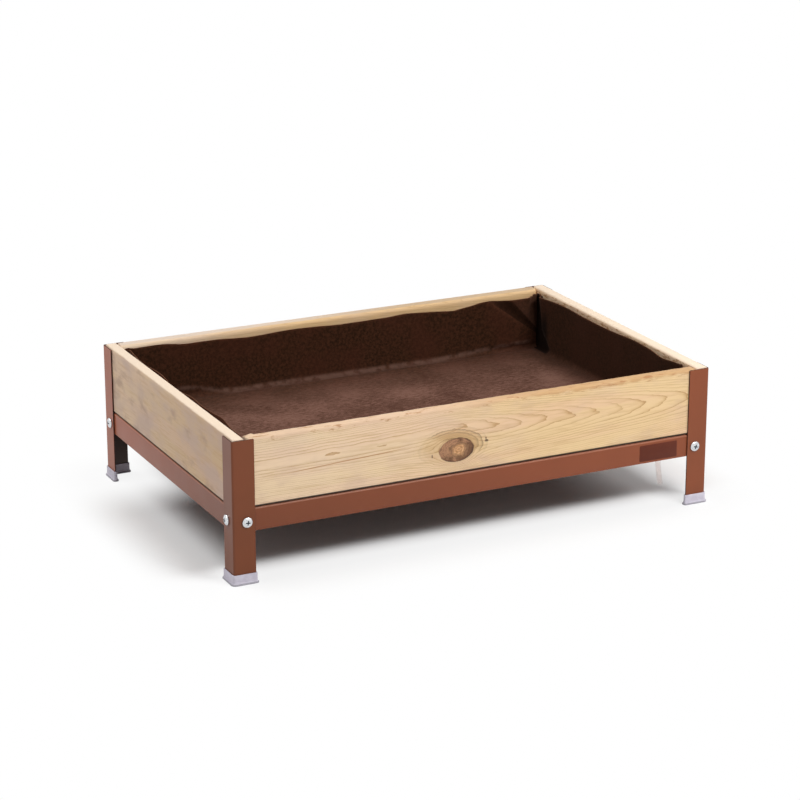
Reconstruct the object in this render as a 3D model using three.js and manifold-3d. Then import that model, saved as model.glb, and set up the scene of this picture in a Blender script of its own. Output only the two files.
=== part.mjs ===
// A raised planter for a terrace: four pine boards in a bolted frame of painted steel angle on plastic
// feet, with a felt liner laid over a drained tray. Millimetres, +Z up, origin on the floor in the middle.
// The front faces -Y, and the length runs along X.

import * as THREE from 'three';
import { mergeVertices } from 'three/addons/utils/BufferGeometryUtils.js';
import Module from 'manifold-3d';

const wasm = await Module();
wasm.setup();

// Overall size, over the outer faces of the legs
const LENGTH = 800;
const DEPTH = 530;
const HEIGHT = 220;

// Clearances
const FIT = 0.3; // between faces that seat on each other
const CUT_PAST = 1; // how far a cutting solid runs past the face that it opens

// Legs: equal steel angles, open towards the inside
const LEG_FLANGE = 35;
const LEG_SHEET = 2;
const LEG_BEND = 1; // inner radius of the fold
const LEG_NOSE = 1.2; // rounding of a flange's free top corner
const LEG_EDGE = 0.5; // rounding of a flange's long edges

// Foot caps: sockets that follow the angle
const CAP_HEIGHT = 16;
const CAP_WALL = 1.6;
const CAP_SOLE = 3;
const CAP_FLARE = 2; // how far the skirt stands out at the floor
const CAP_RIM = 1.2; // upright edge of the skirt
const CAP_SKIRT = 5; // height where the skirt runs out

// Rails: steel angles with the flange turned in at the top
const RAIL_WEB = 35;
const RAIL_LEDGE = 17; // what the flange offers inside the board
const RAIL_SHEET = 1.5;
const RAIL_BEND = 0.7; // inner radius of the fold
const MITRE_GAP = 1; // from a rail's cut end to the corner's diagonal

// Boards
const BOARD_HEIGHT = 106;
const BOARD_PROUD = 1; // what the boards stand above the legs
const BOARD_THICK = 18;
const BOARD_ROUND = 4;
const BOARD_ARRIS = 0.8; // where a top arris is left crisp
const BOARD_ROLL = 8; // where a top arris is rounded over
const TOP_ARRISES = {
  front: { outer: BOARD_ROUND, inner: BOARD_ROUND },
  right: { outer: BOARD_ARRIS, inner: BOARD_ROUND },
  rear: { outer: BOARD_ROUND, inner: BOARD_ROLL },
  left: { outer: BOARD_ROUND, inner: BOARD_ARRIS },
};
const BOARD_TUCK = 1.2; // from a short board's end to the leg's inner face
const BOARD_SHRINK = 2.5; // from a long board's end to the short board

// Frame bolts, washers and nuts
const BOLT_DIAMETER = 8;
const BOLT_TAIL = 3.2; // thread past the nut
const BOLT_CHAMFER = 0.8;
const BOLT_PASS = 2.3; // between the two bolts that cross in a corner
const BOLT_RISE = 15.5; // above the rail's lower edge
const HEAD_OVERHANG = 4; // round the shank
const HEAD_HEIGHT = 4.2;
const HEAD_EDGE = 1.2; // upright rim of the head below its crown
const RECESS_SPAN = 9;
const RECESS_FLOOR = 4;
const RECESS_WIDTH = 2;
const RECESS_DEPTH = 2.4;
const WASHER_WIDTH = 3.7;
const WASHER_THICK = 1.6;
const NUT_WALL = 2.2;
const NUT_HEIGHT = 6.5;

// Wood screws through the short boards into the long ones
const SCREW_DIAMETER = 4.5;
const SCREW_HEAD = 9;
const SCREW_LENGTH = 45;
const SCREW_POINT = 6;
const SCREW_TIP = 0.4; // radius of the blunt tip
const SCREW_RIM = 0.4; // upright edge of the head
const SCREW_SINK = 0.5; // head below the board's face
const SCREW_EDGE = 25; // from the board's edges

// Tray and the bars under it
const TRAY_SHEET = 1;
const TRAY_LIP = 14;
const TRAY_CORNER = 3; // inner radius of the lip's corners
const TRAY_GAP = 1; // to the boards
const BAR_WIDTH = 30;
const BAR_DROP = 15;
const BAR_SHEET = 1.2;
const BAR_SPACING = 250;
const BAR_END_GAP = 5; // from the bar's tab to the board
const BAR_CLEAR = 2; // from the bar's sides to the rail's flange

// Drain
const SPIGOT_BORE = 3.6;
const SPIGOT_TIP_WALL = 0.6;
const SPIGOT_TIP_TAPER = 0.5;
const SPIGOT_TIP_LENGTH = 5;
const SPIGOT_BARB_LENGTH = 18;
const SPIGOT_STEP = 3.1; // from the barb out to the threaded stem
const SPIGOT_TAIL = 1; // stem past the lock nut
const SPIGOT_FLANGE_WIDTH = 5;
const SPIGOT_FLANGE_THICK = 2;
const SEAL_THICK = 1.5;
const DRAIN_NUT_WALL = 3.2;
const DRAIN_NUT_HEIGHT = 5;
const SUMP_MARGIN = 1; // round the spigot's flange
const SUMP_SPARE = 0.6; // the flange lies this far below the tray's floor
const SUMP_SLOPE = 2; // the sump is this much wider at its mouth
const SUMP_CLEAR = 3; // to the rails' flanges

// Hose: its centreline below the spigot's shoulder, straight over the barb and then leaning to the right
const HOSE_WALL = 1.3;
const HOSE_ROUTE = [
  [0, 0, 0],
  [0, 0, -6],
  [0, 0, -12],
  [0, 0, -18],
  [0, 0, -24],
  [0.2, 0, -30],
  [0.5, 0, -36],
  [1, 0, -42],
  [1.6, 0, -48],
  [2.3, 0, -54],
  [3.1, 0, -60],
  [4, 0, -66],
  [5, 0, -72],
  [6, 0, -78],
  [7, 0, -84],
  [7.4, 0, -86.5],
];

// Liner: a felt sheet with loose walls. Each wall lists, at even steps along it, how far its rim lies below
// the legs' tops and how far it leans inwards. The walls follow each other from the front left corner.
const LINER_THICK = 1.5;
const LINER_CREASE = 8; // inner radius between floor and wall
const LINER_FLOOR_CORNER = 4.5; // radius of the floor's corners, inside the crease
const LINER_FOLD = 2.6; // what the folded corner adds on the long walls
const LINER_FOLD_SLOPE = 0.9; // width of the corner's flap for each millimetre of height
const LINER_RIMS = {
  front: {
    drop: [6, 9, 12, 8, 11, 13, 9, 7, 10, 12, 8, 9, 10],
    lean: [2, 5, 2, 6, 3, 5, 2, 6, 2, 5, 3, 5, 6],
  },
  right: {
    drop: [1, 3, 6, 3, 2, 2, 3, 5, 6, 6, 5, 5, 4, 3, 3, 4, 5],
    lean: [2, 3, 2, 1, 1, 2, 1, 2, 2],
  },
  rear: {
    drop: [8, 9, 9, 6, 11, 15, 13, 11, 10, 12, 12, 12, 12, 11, 10, 10, 11, 12, 11, 9, 9, 9, 5, 4, 4],
    lean: [2, 3, 5, 3, 1, 2, 3, 1, 2, 3, 2, 1, 2],
  },
  left: {
    drop: [3, 4, 5, 3, 2, 4, 6, 4, 4, 5, 4, 5, 5],
    lean: [6, 3, 1, 4, 4, 1, 4, 7, 5, 7, 8, 4, 2],
  },
};
const LINER_STEPS_LONG = 28;
const LINER_STEPS_SHORT = 19;
const LINER_LEVELS_OUTSIDE = [0, 0.5, 1]; // shares of the wall's height
const LINER_LEVELS_INSIDE = [1, 0.7, 0.35, 0];

// Facets of the round faces
const FOLD_STEPS = 4;
const SMALL_ROUND = 12;
const HEAD_ROUND = 16;
const CROWN_STEPS = 4;
const HOSE_SIDES = 12;
const HOSE_STEPS = 7;

// What follows from the sizes above
const BOARD_FACE = LEG_SHEET + FIT; // outer face of rails and boards, in from the legs' faces
const BOLT_HOLE = BOLT_DIAMETER / 2 + FIT;
const BOARD_BACK = BOARD_FACE + BOARD_THICK;
const BOARD_MIDDLE = BOARD_FACE + BOARD_THICK / 2;
const RAIL_REACH = BOARD_BACK + RAIL_LEDGE;
const BOARD_TOP = HEIGHT + BOARD_PROUD;
const BOARD_BASE = BOARD_TOP - BOARD_HEIGHT;
const RAIL_TOP = BOARD_BASE - FIT;
const RAIL_BASE = RAIL_TOP - RAIL_WEB;
const WASHER_SEAT = BOARD_FACE + RAIL_SHEET + FIT;
const NUT_SEAT = WASHER_SEAT + WASHER_THICK + FIT;
const BOLT_END = NUT_SEAT + NUT_HEIGHT + BOLT_TAIL;
const BOLT_INSET = BOLT_END + BOLT_PASS + BOLT_DIAMETER / 2;
const BOLT_Z = RAIL_BASE + BOLT_RISE;
const SCREW_HEIGHTS = { low: BOARD_BASE + SCREW_EDGE, high: BOARD_TOP - SCREW_EDGE };
const BAR_TOP = RAIL_TOP + FIT + BAR_SHEET;
const TRAY_BASE = BAR_TOP + FIT;
const TRAY_FLOOR = TRAY_BASE + TRAY_SHEET;
const TRAY_HALF = [LENGTH / 2 - BOARD_BACK - TRAY_GAP, DEPTH / 2 - BOARD_BACK - TRAY_GAP];
const SUMP_DEPTH = SEAL_THICK + SPIGOT_FLANGE_THICK + 2 * FIT + SUMP_SPARE;
const BARB_RADIUS = SPIGOT_BORE / 2 + SPIGOT_TIP_WALL + SPIGOT_TIP_TAPER;
const STEM_RADIUS = BARB_RADIUS + SPIGOT_STEP;
const STEM_HOLE = STEM_RADIUS + FIT;
const FLANGE_RADIUS = STEM_RADIUS + SPIGOT_FLANGE_WIDTH;
const SUMP_RADIUS = FLANGE_RADIUS + SUMP_MARGIN;
const SUMP_OUTER = SUMP_RADIUS + SUMP_SLOPE + TRAY_SHEET;
const DRAIN_INSET = RAIL_REACH + SUMP_CLEAR + SUMP_OUTER;
const DRAIN = [LENGTH / 2 - DRAIN_INSET, DRAIN_INSET - DEPTH / 2];
const SEAL_SEAT = TRAY_FLOOR - SUMP_DEPTH + FIT;
const SPIGOT_SEAT = SEAL_SEAT + SEAL_THICK + FIT;
const DRAIN_NUT_TOP = TRAY_FLOOR - SUMP_DEPTH - TRAY_SHEET - FIT;
const SPIGOT_SHOULDER = DRAIN_NUT_TOP - DRAIN_NUT_HEIGHT - SPIGOT_TAIL;
const HOSE_TOP = SPIGOT_SHOULDER - FIT;
const HOSE_BORE = BARB_RADIUS + FIT;
const LINER_BASE = TRAY_FLOOR + FIT;
const LINER_HALF = TRAY_HALF.map((half) => half - TRAY_SHEET - FIT);
const LINER_OUTER_CREASE = LINER_CREASE + LINER_THICK;
const LINER_CORNER = LINER_OUTER_CREASE + LINER_FLOOR_CORNER;

// Finishes
const FINISHES = {
  paint: { color: 0x7f452d, roughness: 0.4, metalness: 0 },
  pine: { color: 0xdcbc8c, roughness: 0.62, metalness: 0 },
  plastic: { color: 0xbcbac6, roughness: 0.55, metalness: 0 },
  zinc: { color: 0xc9cbcd, roughness: 0.28, metalness: 1 },
  felt: { color: 0x4e3428, roughness: 0.96, metalness: 0 },
  hose: { color: 0xdfe3e4, roughness: 0.2, metalness: 0 },
  black_plastic: { color: 0x24262a, roughness: 0.5, metalness: 0 },
  rubber: { color: 0x1b1b1c, roughness: 0.8, metalness: 0 },
};

// Solids and cuts
function toSolid(geometry) {
  const bare = geometry.clone();
  bare.deleteAttribute('normal');
  bare.deleteAttribute('uv');
  const merged = mergeVertices(bare, 1e-4);
  const mesh = new wasm.Mesh({
    numProp: 3,
    vertProperties: Float32Array.from(merged.attributes.position.array),
    triVerts: Uint32Array.from(merged.index.array),
  });
  return new wasm.Manifold(mesh);
}

function toGeometry(solid) {
  const mesh = solid.getMesh();
  const geometry = new THREE.BufferGeometry();
  geometry.setAttribute('position', new THREE.BufferAttribute(mesh.vertProperties, 3));
  geometry.setIndex(new THREE.BufferAttribute(mesh.triVerts, 1));
  geometry.computeVertexNormals();
  return geometry;
}

function cut(body, tools) {
  const solid = tools.reduce((rest, tool) => rest.subtract(toSolid(tool)), toSolid(body));
  return toGeometry(solid);
}

function join(bodies) {
  const [first, ...others] = bodies.map(toSolid);
  return toGeometry(others.reduce((whole, other) => whole.add(other), first));
}

// Outlines: corners given as [x, y, radius] become points, with an arc where there is a radius
function roundedOutline(corners, steps = FOLD_STEPS) {
  const spots = corners.map(([x, y]) => new THREE.Vector2(x, y));
  const points = [];
  corners.forEach(([, , radius], i) => {
    const here = spots[i];
    if (!radius) {
      points.push(here.clone());
      return;
    }
    const back = spots[(i + spots.length - 1) % spots.length].clone().sub(here).normalize();
    const ahead = spots[(i + 1) % spots.length].clone().sub(here).normalize();
    const half = Math.acos(back.dot(ahead)) / 2;
    const centre = back.clone().add(ahead).normalize().multiplyScalar(radius / Math.sin(half)).add(here);
    const start = back.clone().multiplyScalar(radius / Math.tan(half)).add(here).sub(centre);
    const turn = (Math.PI - 2 * half) * Math.sign(ahead.cross(back));
    for (let step = 0; step <= steps; step += 1) {
      points.push(start.clone().rotateAround(new THREE.Vector2(), (turn * step) / steps).add(centre));
    }
  });
  return points;
}

function prism(outline, depth, holes = []) {
  const shape = new THREE.Shape(outline);
  shape.holes = holes.map((hole) => new THREE.Path(hole));
  return new THREE.ExtrudeGeometry(shape, { depth, bevelEnabled: false });
}

// Sections given in (y, z) run along X, from -length / 2 to length / 2
function bar(section, length) {
  const geometry = prism(section, length);
  geometry.rotateX(Math.PI / 2);
  geometry.rotateZ(Math.PI / 2);
  geometry.translate(-length / 2, 0, 0);
  return geometry;
}

function circle(radius, sides) {
  return Array.from({ length: sides }, (_, i) => {
    const angle = ((i + 0.5) * 2 * Math.PI) / sides;
    return new THREE.Vector2(radius * Math.cos(angle), radius * Math.sin(angle));
  });
}

function hexagon(flatRadius) {
  return circle(flatRadius / Math.cos(Math.PI / 6), 6);
}

// Profiles given in [radius, z], turned about Z; they run upwards along the outside
function turned(profile, sides) {
  const points = profile.map(([radius, z]) => new THREE.Vector2(radius, z));
  const geometry = new THREE.LatheGeometry(points, sides);
  geometry.rotateX(Math.PI / 2);
  return geometry;
}

function drill(radius, length, sides = SMALL_ROUND) {
  return new THREE.CylinderGeometry(radius, radius, length, sides);
}

// Rings of equal count, joined one after the other and closed at both ends
function loft(rings) {
  const count = rings[0].length;
  const positions = rings.flat().flatMap((point) => [point.x, point.y, point.z]);
  const flat = (ring) => ring.map((point) => new THREE.Vector2(point.x, point.y));
  const faces = [];
  THREE.ShapeUtils.triangulateShape(flat(rings[0]), []).forEach(([a, b, c]) => faces.push(a, c, b));
  for (let level = 0; level < rings.length - 1; level += 1) {
    for (let i = 0; i < count; i += 1) {
      const a = level * count + i;
      const b = level * count + ((i + 1) % count);
      faces.push(a, b, b + count, a, b + count, a + count);
    }
  }
  const last = (rings.length - 1) * count;
  THREE.ShapeUtils.triangulateShape(flat(rings.at(-1)), []).forEach((face) => {
    faces.push(...face.map((index) => last + index));
  });
  const geometry = new THREE.BufferGeometry();
  geometry.setAttribute('position', new THREE.Float32BufferAttribute(positions, 3));
  geometry.setIndex(faces);
  geometry.computeVertexNormals();
  return geometry;
}

// Legs and feet stand in a corner's own frame: the outer edge on Z, the flanges along +X and +Y
function angleOutline(grow) {
  const end = LEG_FLANGE + grow;
  const inner = LEG_SHEET + grow;
  return roundedOutline([
    [-grow, -grow, LEG_BEND + LEG_SHEET + grow],
    [end, -grow, LEG_EDGE + grow],
    [end, inner, LEG_EDGE + grow],
    [inner, inner, LEG_BEND],
    [inner, end, LEG_EDGE + grow],
    [-grow, end, LEG_EDGE + grow],
  ]);
}

function leg() {
  const foot = CAP_SOLE + FIT;
  const body = prism(angleOutline(0), HEIGHT - foot);
  body.translate(0, 0, foot);
  const nose = prism(
    roundedOutline([
      [LEG_FLANGE - 2 * LEG_NOSE, HEIGHT + CUT_PAST, 0],
      [LEG_FLANGE - 2 * LEG_NOSE, HEIGHT, 0],
      [LEG_FLANGE, HEIGHT, LEG_NOSE],
      [LEG_FLANGE, HEIGHT - 2 * LEG_NOSE, 0],
      [LEG_FLANGE + CUT_PAST, HEIGHT - 2 * LEG_NOSE, 0],
      [LEG_FLANGE + CUT_PAST, HEIGHT + CUT_PAST, 0],
    ]),
    LEG_SHEET + 2 * CUT_PAST,
  );
  nose.rotateX(Math.PI / 2);
  nose.translate(0, LEG_SHEET + CUT_PAST, 0);
  const otherNose = nose.clone().rotateZ(Math.PI / 2).translate(LEG_SHEET, 0, 0);
  const hole = drill(BOLT_HOLE, 2 * LEG_FLANGE);
  const otherHole = hole.clone().rotateZ(Math.PI / 2);
  hole.translate(BOLT_INSET, 0, BOLT_Z);
  otherHole.translate(0, BOLT_INSET, BOLT_Z);
  return cut(body, [nose, otherNose, hole, otherHole]);
}

function footCap() {
  const wall = FIT + CAP_WALL;
  const ring = (grow, z) => angleOutline(grow).map((point) => new THREE.Vector3(point.x, point.y, z));
  const body = loft([
    ring(wall + CAP_FLARE, 0),
    ring(wall + CAP_FLARE, CAP_RIM),
    ring(wall, CAP_SKIRT),
    ring(wall, CAP_HEIGHT),
  ]);
  const slot = prism(angleOutline(FIT), CAP_HEIGHT);
  slot.translate(0, 0, CAP_SOLE);
  return cut(body, [slot]);
}

// Rails, boards and bolts stand in a side's own frame: X along the side, Y inwards from the legs' faces
function rail(span) {
  const section = roundedOutline([
    [BOARD_FACE, RAIL_BASE, 0],
    [BOARD_FACE + RAIL_SHEET, RAIL_BASE, 0],
    [BOARD_FACE + RAIL_SHEET, RAIL_TOP - RAIL_SHEET, RAIL_BEND],
    [RAIL_REACH, RAIL_TOP - RAIL_SHEET, 0],
    [RAIL_REACH, RAIL_TOP, 0],
    [BOARD_FACE, RAIL_TOP, RAIL_BEND + RAIL_SHEET],
  ]);
  const tools = [-1, 1].flatMap((end) => {
    const corner = span / 2 - MITRE_GAP;
    const mitre = prism(
      [
        new THREE.Vector2(end * (corner + CUT_PAST), -CUT_PAST),
        new THREE.Vector2(end * (corner - RAIL_REACH - CUT_PAST), RAIL_REACH + CUT_PAST),
        new THREE.Vector2(end * (corner + CUT_PAST), RAIL_REACH + CUT_PAST),
      ],
      RAIL_WEB + 2 * CUT_PAST,
    );
    mitre.translate(0, 0, RAIL_BASE - CUT_PAST);
    const hole = drill(BOLT_HOLE, 2 * RAIL_REACH);
    hole.translate(end * (span / 2 - BOLT_INSET), 0, BOLT_Z);
    return [mitre, hole];
  });
  return cut(bar(section, span - 2 * (BOARD_FACE + MITRE_GAP)), tools);
}

function boardSection(name) {
  const { outer, inner } = TOP_ARRISES[name];
  return roundedOutline([
    [BOARD_FACE, BOARD_BASE, BOARD_ROUND],
    [BOARD_BACK, BOARD_BASE, BOARD_ROUND],
    [BOARD_BACK, BOARD_TOP, inner],
    [BOARD_FACE, BOARD_TOP, outer],
  ]);
}

function woodScrew(grow, headTop) {
  const head = SCREW_HEAD / 2 + grow;
  const shank = SCREW_DIAMETER / 2 + grow;
  const rim = SCREW_SINK + SCREW_RIM + grow;
  return turned(
    [
      [0, headTop],
      [head, headTop],
      [head, rim],
      [shank, rim + (SCREW_HEAD - SCREW_DIAMETER) / 2],
      [shank, SCREW_LENGTH - SCREW_POINT],
      [SCREW_TIP + grow, SCREW_LENGTH + grow],
      [0, SCREW_LENGTH + grow],
    ],
    SMALL_ROUND,
  );
}

function screwHole() {
  return woodScrew(FIT, -CUT_PAST);
}

function shortBoard(name) {
  const length = DEPTH - 2 * (LEG_SHEET + BOARD_TUCK);
  const holes = [-1, 1].flatMap((end) => Object.values(SCREW_HEIGHTS).map((z) => {
    const hole = screwHole();
    hole.rotateX(-Math.PI / 2);
    hole.translate(end * (DEPTH / 2 - BOARD_MIDDLE), BOARD_FACE, z);
    return hole;
  }));
  return cut(bar(boardSection(name), length), holes);
}

function longBoard(name) {
  const length = LENGTH - 2 * (BOARD_BACK + BOARD_SHRINK);
  const holes = [-1, 1].flatMap((end) => Object.values(SCREW_HEIGHTS).map((z) => {
    const hole = screwHole();
    hole.rotateY((-end * Math.PI) / 2);
    hole.translate(end * (LENGTH / 2 - BOARD_FACE), BOARD_MIDDLE, z);
    return hole;
  }));
  return cut(bar(boardSection(name), length), holes);
}

// Bolts, washers and nuts run along their own +Z, from the legs' outer face inwards
function bolt() {
  const shank = BOLT_DIAMETER / 2;
  const head = shank + HEAD_OVERHANG;
  const crown = Array.from({ length: CROWN_STEPS + 1 }, (_, i) => {
    const angle = (i / CROWN_STEPS) * (Math.PI / 2);
    const rise = HEAD_EDGE + (HEAD_HEIGHT - HEAD_EDGE) * Math.cos(angle);
    return [head * Math.sin(angle), -FIT - rise];
  });
  const body = turned(
    [
      ...crown,
      [head, -FIT],
      [shank, -FIT],
      [shank, BOLT_END - BOLT_CHAMFER],
      [shank - BOLT_CHAMFER, BOLT_END],
      [0, BOLT_END],
    ],
    HEAD_ROUND,
  );
  const mouth = -FIT - HEAD_HEIGHT - CUT_PAST;
  const blade = prism(
    [
      new THREE.Vector2(-RECESS_SPAN / 2, mouth),
      new THREE.Vector2(RECESS_SPAN / 2, mouth),
      new THREE.Vector2(RECESS_FLOOR / 2, mouth + CUT_PAST + RECESS_DEPTH),
      new THREE.Vector2(-RECESS_FLOOR / 2, mouth + CUT_PAST + RECESS_DEPTH),
    ],
    RECESS_WIDTH,
  );
  blade.translate(0, 0, -RECESS_WIDTH / 2);
  blade.rotateX(Math.PI / 2);
  return cut(body, [blade, blade.clone().rotateZ(Math.PI / 2)]);
}

function washer() {
  const ring = prism(
    circle(BOLT_HOLE + WASHER_WIDTH, SMALL_ROUND),
    WASHER_THICK,
    [circle(BOLT_HOLE, SMALL_ROUND)],
  );
  ring.translate(0, 0, WASHER_SEAT);
  return ring;
}

function nut() {
  const body = prism(hexagon(BOLT_HOLE + NUT_WALL), NUT_HEIGHT, [circle(BOLT_HOLE, SMALL_ROUND)]);
  body.translate(0, 0, NUT_SEAT);
  return body;
}

// Tray and drain
function rectangle(halfX, halfY, radius) {
  return roundedOutline([
    [-halfX, -halfY, radius],
    [halfX, -halfY, radius],
    [halfX, halfY, radius],
    [-halfX, halfY, radius],
  ]);
}

function tray() {
  const [halfX, halfY] = TRAY_HALF;
  const pan = prism(rectangle(halfX, halfY, TRAY_CORNER + TRAY_SHEET), TRAY_SHEET + TRAY_LIP);
  pan.translate(0, 0, TRAY_BASE);
  const inside = prism(
    rectangle(halfX - TRAY_SHEET, halfY - TRAY_SHEET, TRAY_CORNER),
    TRAY_LIP + CUT_PAST,
  );
  inside.translate(0, 0, TRAY_FLOOR);
  const sumpFloor = TRAY_FLOOR - SUMP_DEPTH;
  const dish = turned(
    [
      [0, sumpFloor - TRAY_SHEET],
      [SUMP_RADIUS + TRAY_SHEET, sumpFloor - TRAY_SHEET],
      [SUMP_OUTER, TRAY_BASE],
      [SUMP_OUTER, TRAY_FLOOR],
      [0, TRAY_FLOOR],
    ],
    HEAD_ROUND,
  );
  const hollow = turned(
    [
      [0, sumpFloor],
      [SUMP_RADIUS, sumpFloor],
      [SUMP_RADIUS + SUMP_SLOPE, TRAY_FLOOR],
      [SUMP_RADIUS + SUMP_SLOPE, TRAY_FLOOR + CUT_PAST],
      [0, TRAY_FLOOR + CUT_PAST],
    ],
    HEAD_ROUND,
  );
  const hole = drill(STEM_HOLE, 2 * SUMP_DEPTH, HEAD_ROUND);
  hole.rotateX(Math.PI / 2);
  hole.translate(0, 0, sumpFloor);
  [dish, hollow, hole].forEach((tool) => tool.translate(...DRAIN, 0));
  return cut(join([cut(pan, [inside]), dish]), [hollow, hole]);
}

function supportBar() {
  const tabHalf = DEPTH / 2 - BOARD_BACK - BAR_END_GAP;
  const sideHalf = DEPTH / 2 - RAIL_REACH - BAR_CLEAR;
  const plate = new THREE.BoxGeometry(BAR_WIDTH, 2 * tabHalf, BAR_SHEET);
  plate.translate(0, 0, BAR_TOP - BAR_SHEET / 2);
  const sides = [-1, 1].map((side) => {
    const wall = new THREE.BoxGeometry(BAR_SHEET, 2 * sideHalf, BAR_DROP);
    wall.translate((side * (BAR_WIDTH - BAR_SHEET)) / 2, 0, BAR_TOP - BAR_DROP / 2);
    return wall;
  });
  return join([plate, ...sides]);
}

function drainSpigot() {
  const bore = SPIGOT_BORE / 2;
  const end = SPIGOT_SHOULDER - SPIGOT_BARB_LENGTH;
  const top = SPIGOT_SEAT + SPIGOT_FLANGE_THICK;
  return turned(
    [
      [bore, end],
      [bore + SPIGOT_TIP_WALL, end],
      [BARB_RADIUS, end + SPIGOT_TIP_LENGTH],
      [BARB_RADIUS, SPIGOT_SHOULDER],
      [STEM_RADIUS, SPIGOT_SHOULDER],
      [STEM_RADIUS, SPIGOT_SEAT],
      [FLANGE_RADIUS, SPIGOT_SEAT],
      [FLANGE_RADIUS, top],
      [bore, top],
      [bore, end],
    ],
    HEAD_ROUND,
  );
}

function drainSeal() {
  const ring = prism(circle(FLANGE_RADIUS, HEAD_ROUND), SEAL_THICK, [circle(STEM_HOLE, HEAD_ROUND)]);
  ring.translate(0, 0, SEAL_SEAT);
  return ring;
}

function drainNut() {
  const bore = circle(STEM_HOLE, HEAD_ROUND);
  const body = prism(hexagon(STEM_HOLE + DRAIN_NUT_WALL), DRAIN_NUT_HEIGHT, [bore]);
  body.translate(0, 0, DRAIN_NUT_TOP - DRAIN_NUT_HEIGHT);
  return body;
}

function drainHose() {
  const route = new THREE.CatmullRomCurve3(HOSE_ROUTE.map((point) => new THREE.Vector3(...point)));
  const section = new THREE.Shape(circle(HOSE_BORE + HOSE_WALL, HOSE_SIDES));
  section.holes = [new THREE.Path(circle(HOSE_BORE, HOSE_SIDES))];
  const hose = new THREE.ExtrudeGeometry(section, { steps: HOSE_STEPS, extrudePath: route });
  hose.translate(0, 0, HOSE_TOP);
  return hose;
}

// Liner: rings of points round the four walls, each some way in from the outer face and up the wall
function wallValue(values, along) {
  const curve = new THREE.SplineCurve(values.map((value, i) => new THREE.Vector2(i, value)));
  return curve.getPoint(along).y;
}

function linerSpots() {
  const [halfX, halfY] = LINER_HALF;
  const walls = [
    { name: 'front', run: halfX, off: halfY, steps: LINER_STEPS_LONG, turn: 0, folded: true },
    { name: 'right', run: halfY, off: halfX, steps: LINER_STEPS_SHORT, turn: 1, folded: false },
    { name: 'rear', run: halfX, off: halfY, steps: LINER_STEPS_LONG, turn: 2, folded: true },
    { name: 'left', run: halfY, off: halfX, steps: LINER_STEPS_SHORT, turn: 3, folded: false },
  ];
  return walls.flatMap(({ name, run, off, steps, turn, folded }) => {
    const { drop, lean } = LINER_RIMS[name];
    const straight = run - LINER_CORNER;
    const spots = Array.from({ length: steps }, (_, i) => {
      const along = i / (steps - 1);
      return {
        turn,
        centre: new THREE.Vector2(straight * (2 * along - 1), LINER_CORNER - off),
        normal: new THREE.Vector2(0, -1),
        drop: wallValue(drop, along),
        lean: Math.max(0, wallValue(lean, along)),
        toCorner: folded ? 2 * straight * Math.min(along, 1 - along) + LINER_CORNER : Infinity,
      };
    });
    const bend = {
      turn,
      centre: new THREE.Vector2(straight, LINER_CORNER - off),
      normal: new THREE.Vector2(1, -1).normalize(),
      drop: drop.at(-1),
      lean: lean.at(-1),
      toCorner: Infinity,
    };
    return [...spots, bend];
  });
}

function liner() {
  const spots = linerSpots();
  const ring = (place) => spots.map((spot) => {
    const { inset, z } = place(spot);
    const flat = spot.normal.clone().multiplyScalar(LINER_CORNER - inset).add(spot.centre);
    flat.rotateAround(new THREE.Vector2(), (spot.turn * Math.PI) / 2);
    return new THREE.Vector3(flat.x, flat.y, z);
  });
  const wallFoot = LINER_BASE + LINER_OUTER_CREASE;
  const bendShare = 1 - Math.SQRT1_2;
  const wall = (share, thick) => ring(({ drop, lean, toCorner }) => {
    const height = (HEIGHT - drop - wallFoot) * share;
    const flap = thick && toCorner < LINER_FOLD_SLOPE * height ? LINER_FOLD : 0;
    return { inset: lean * share * share + thick + flap, z: wallFoot + height };
  });
  const level = (inset, z) => ring(() => ({ inset, z }));
  const outerBend = LINER_OUTER_CREASE * bendShare;
  const innerBend = LINER_CREASE * bendShare;
  return loft([
    level(LINER_OUTER_CREASE, LINER_BASE),
    level(outerBend, LINER_BASE + outerBend),
    ...LINER_LEVELS_OUTSIDE.map((share) => wall(share, 0)),
    ...LINER_LEVELS_INSIDE.map((share) => wall(share, LINER_THICK)),
    level(LINER_THICK + innerBend, LINER_BASE + LINER_THICK + innerBend),
    level(LINER_OUTER_CREASE, LINER_BASE + LINER_THICK),
  ]);
}

// Assembly
function piece(name, geometry, finish) {
  const mesh = new THREE.Mesh(geometry, new THREE.MeshStandardMaterial(FINISHES[finish]));
  mesh.name = name;
  return mesh;
}

const planter = new THREE.Group();

const CORNERS = [
  { name: 'front_left', x: -LENGTH / 2, y: -DEPTH / 2 },
  { name: 'front_right', x: LENGTH / 2, y: -DEPTH / 2 },
  { name: 'rear_right', x: LENGTH / 2, y: DEPTH / 2 },
  { name: 'rear_left', x: -LENGTH / 2, y: DEPTH / 2 },
];

CORNERS.forEach(({ name, x, y }, quarter) => {
  const corner = new THREE.Group();
  corner.position.set(x, y, 0);
  corner.rotation.z = (quarter * Math.PI) / 2;
  corner.add(piece(`leg_${name}`, leg(), 'paint'));
  corner.add(piece(`foot_cap_${name}`, footCap(), 'plastic'));
  planter.add(corner);
});

const SIDES = [
  { name: 'front', span: LENGTH, off: DEPTH / 2, ends: ['left', 'right'], board: longBoard },
  { name: 'right', span: DEPTH, off: LENGTH / 2, ends: ['front', 'rear'], board: shortBoard },
  { name: 'rear', span: LENGTH, off: DEPTH / 2, ends: ['right', 'left'], board: longBoard },
  { name: 'left', span: DEPTH, off: LENGTH / 2, ends: ['rear', 'front'], board: shortBoard },
];

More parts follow.
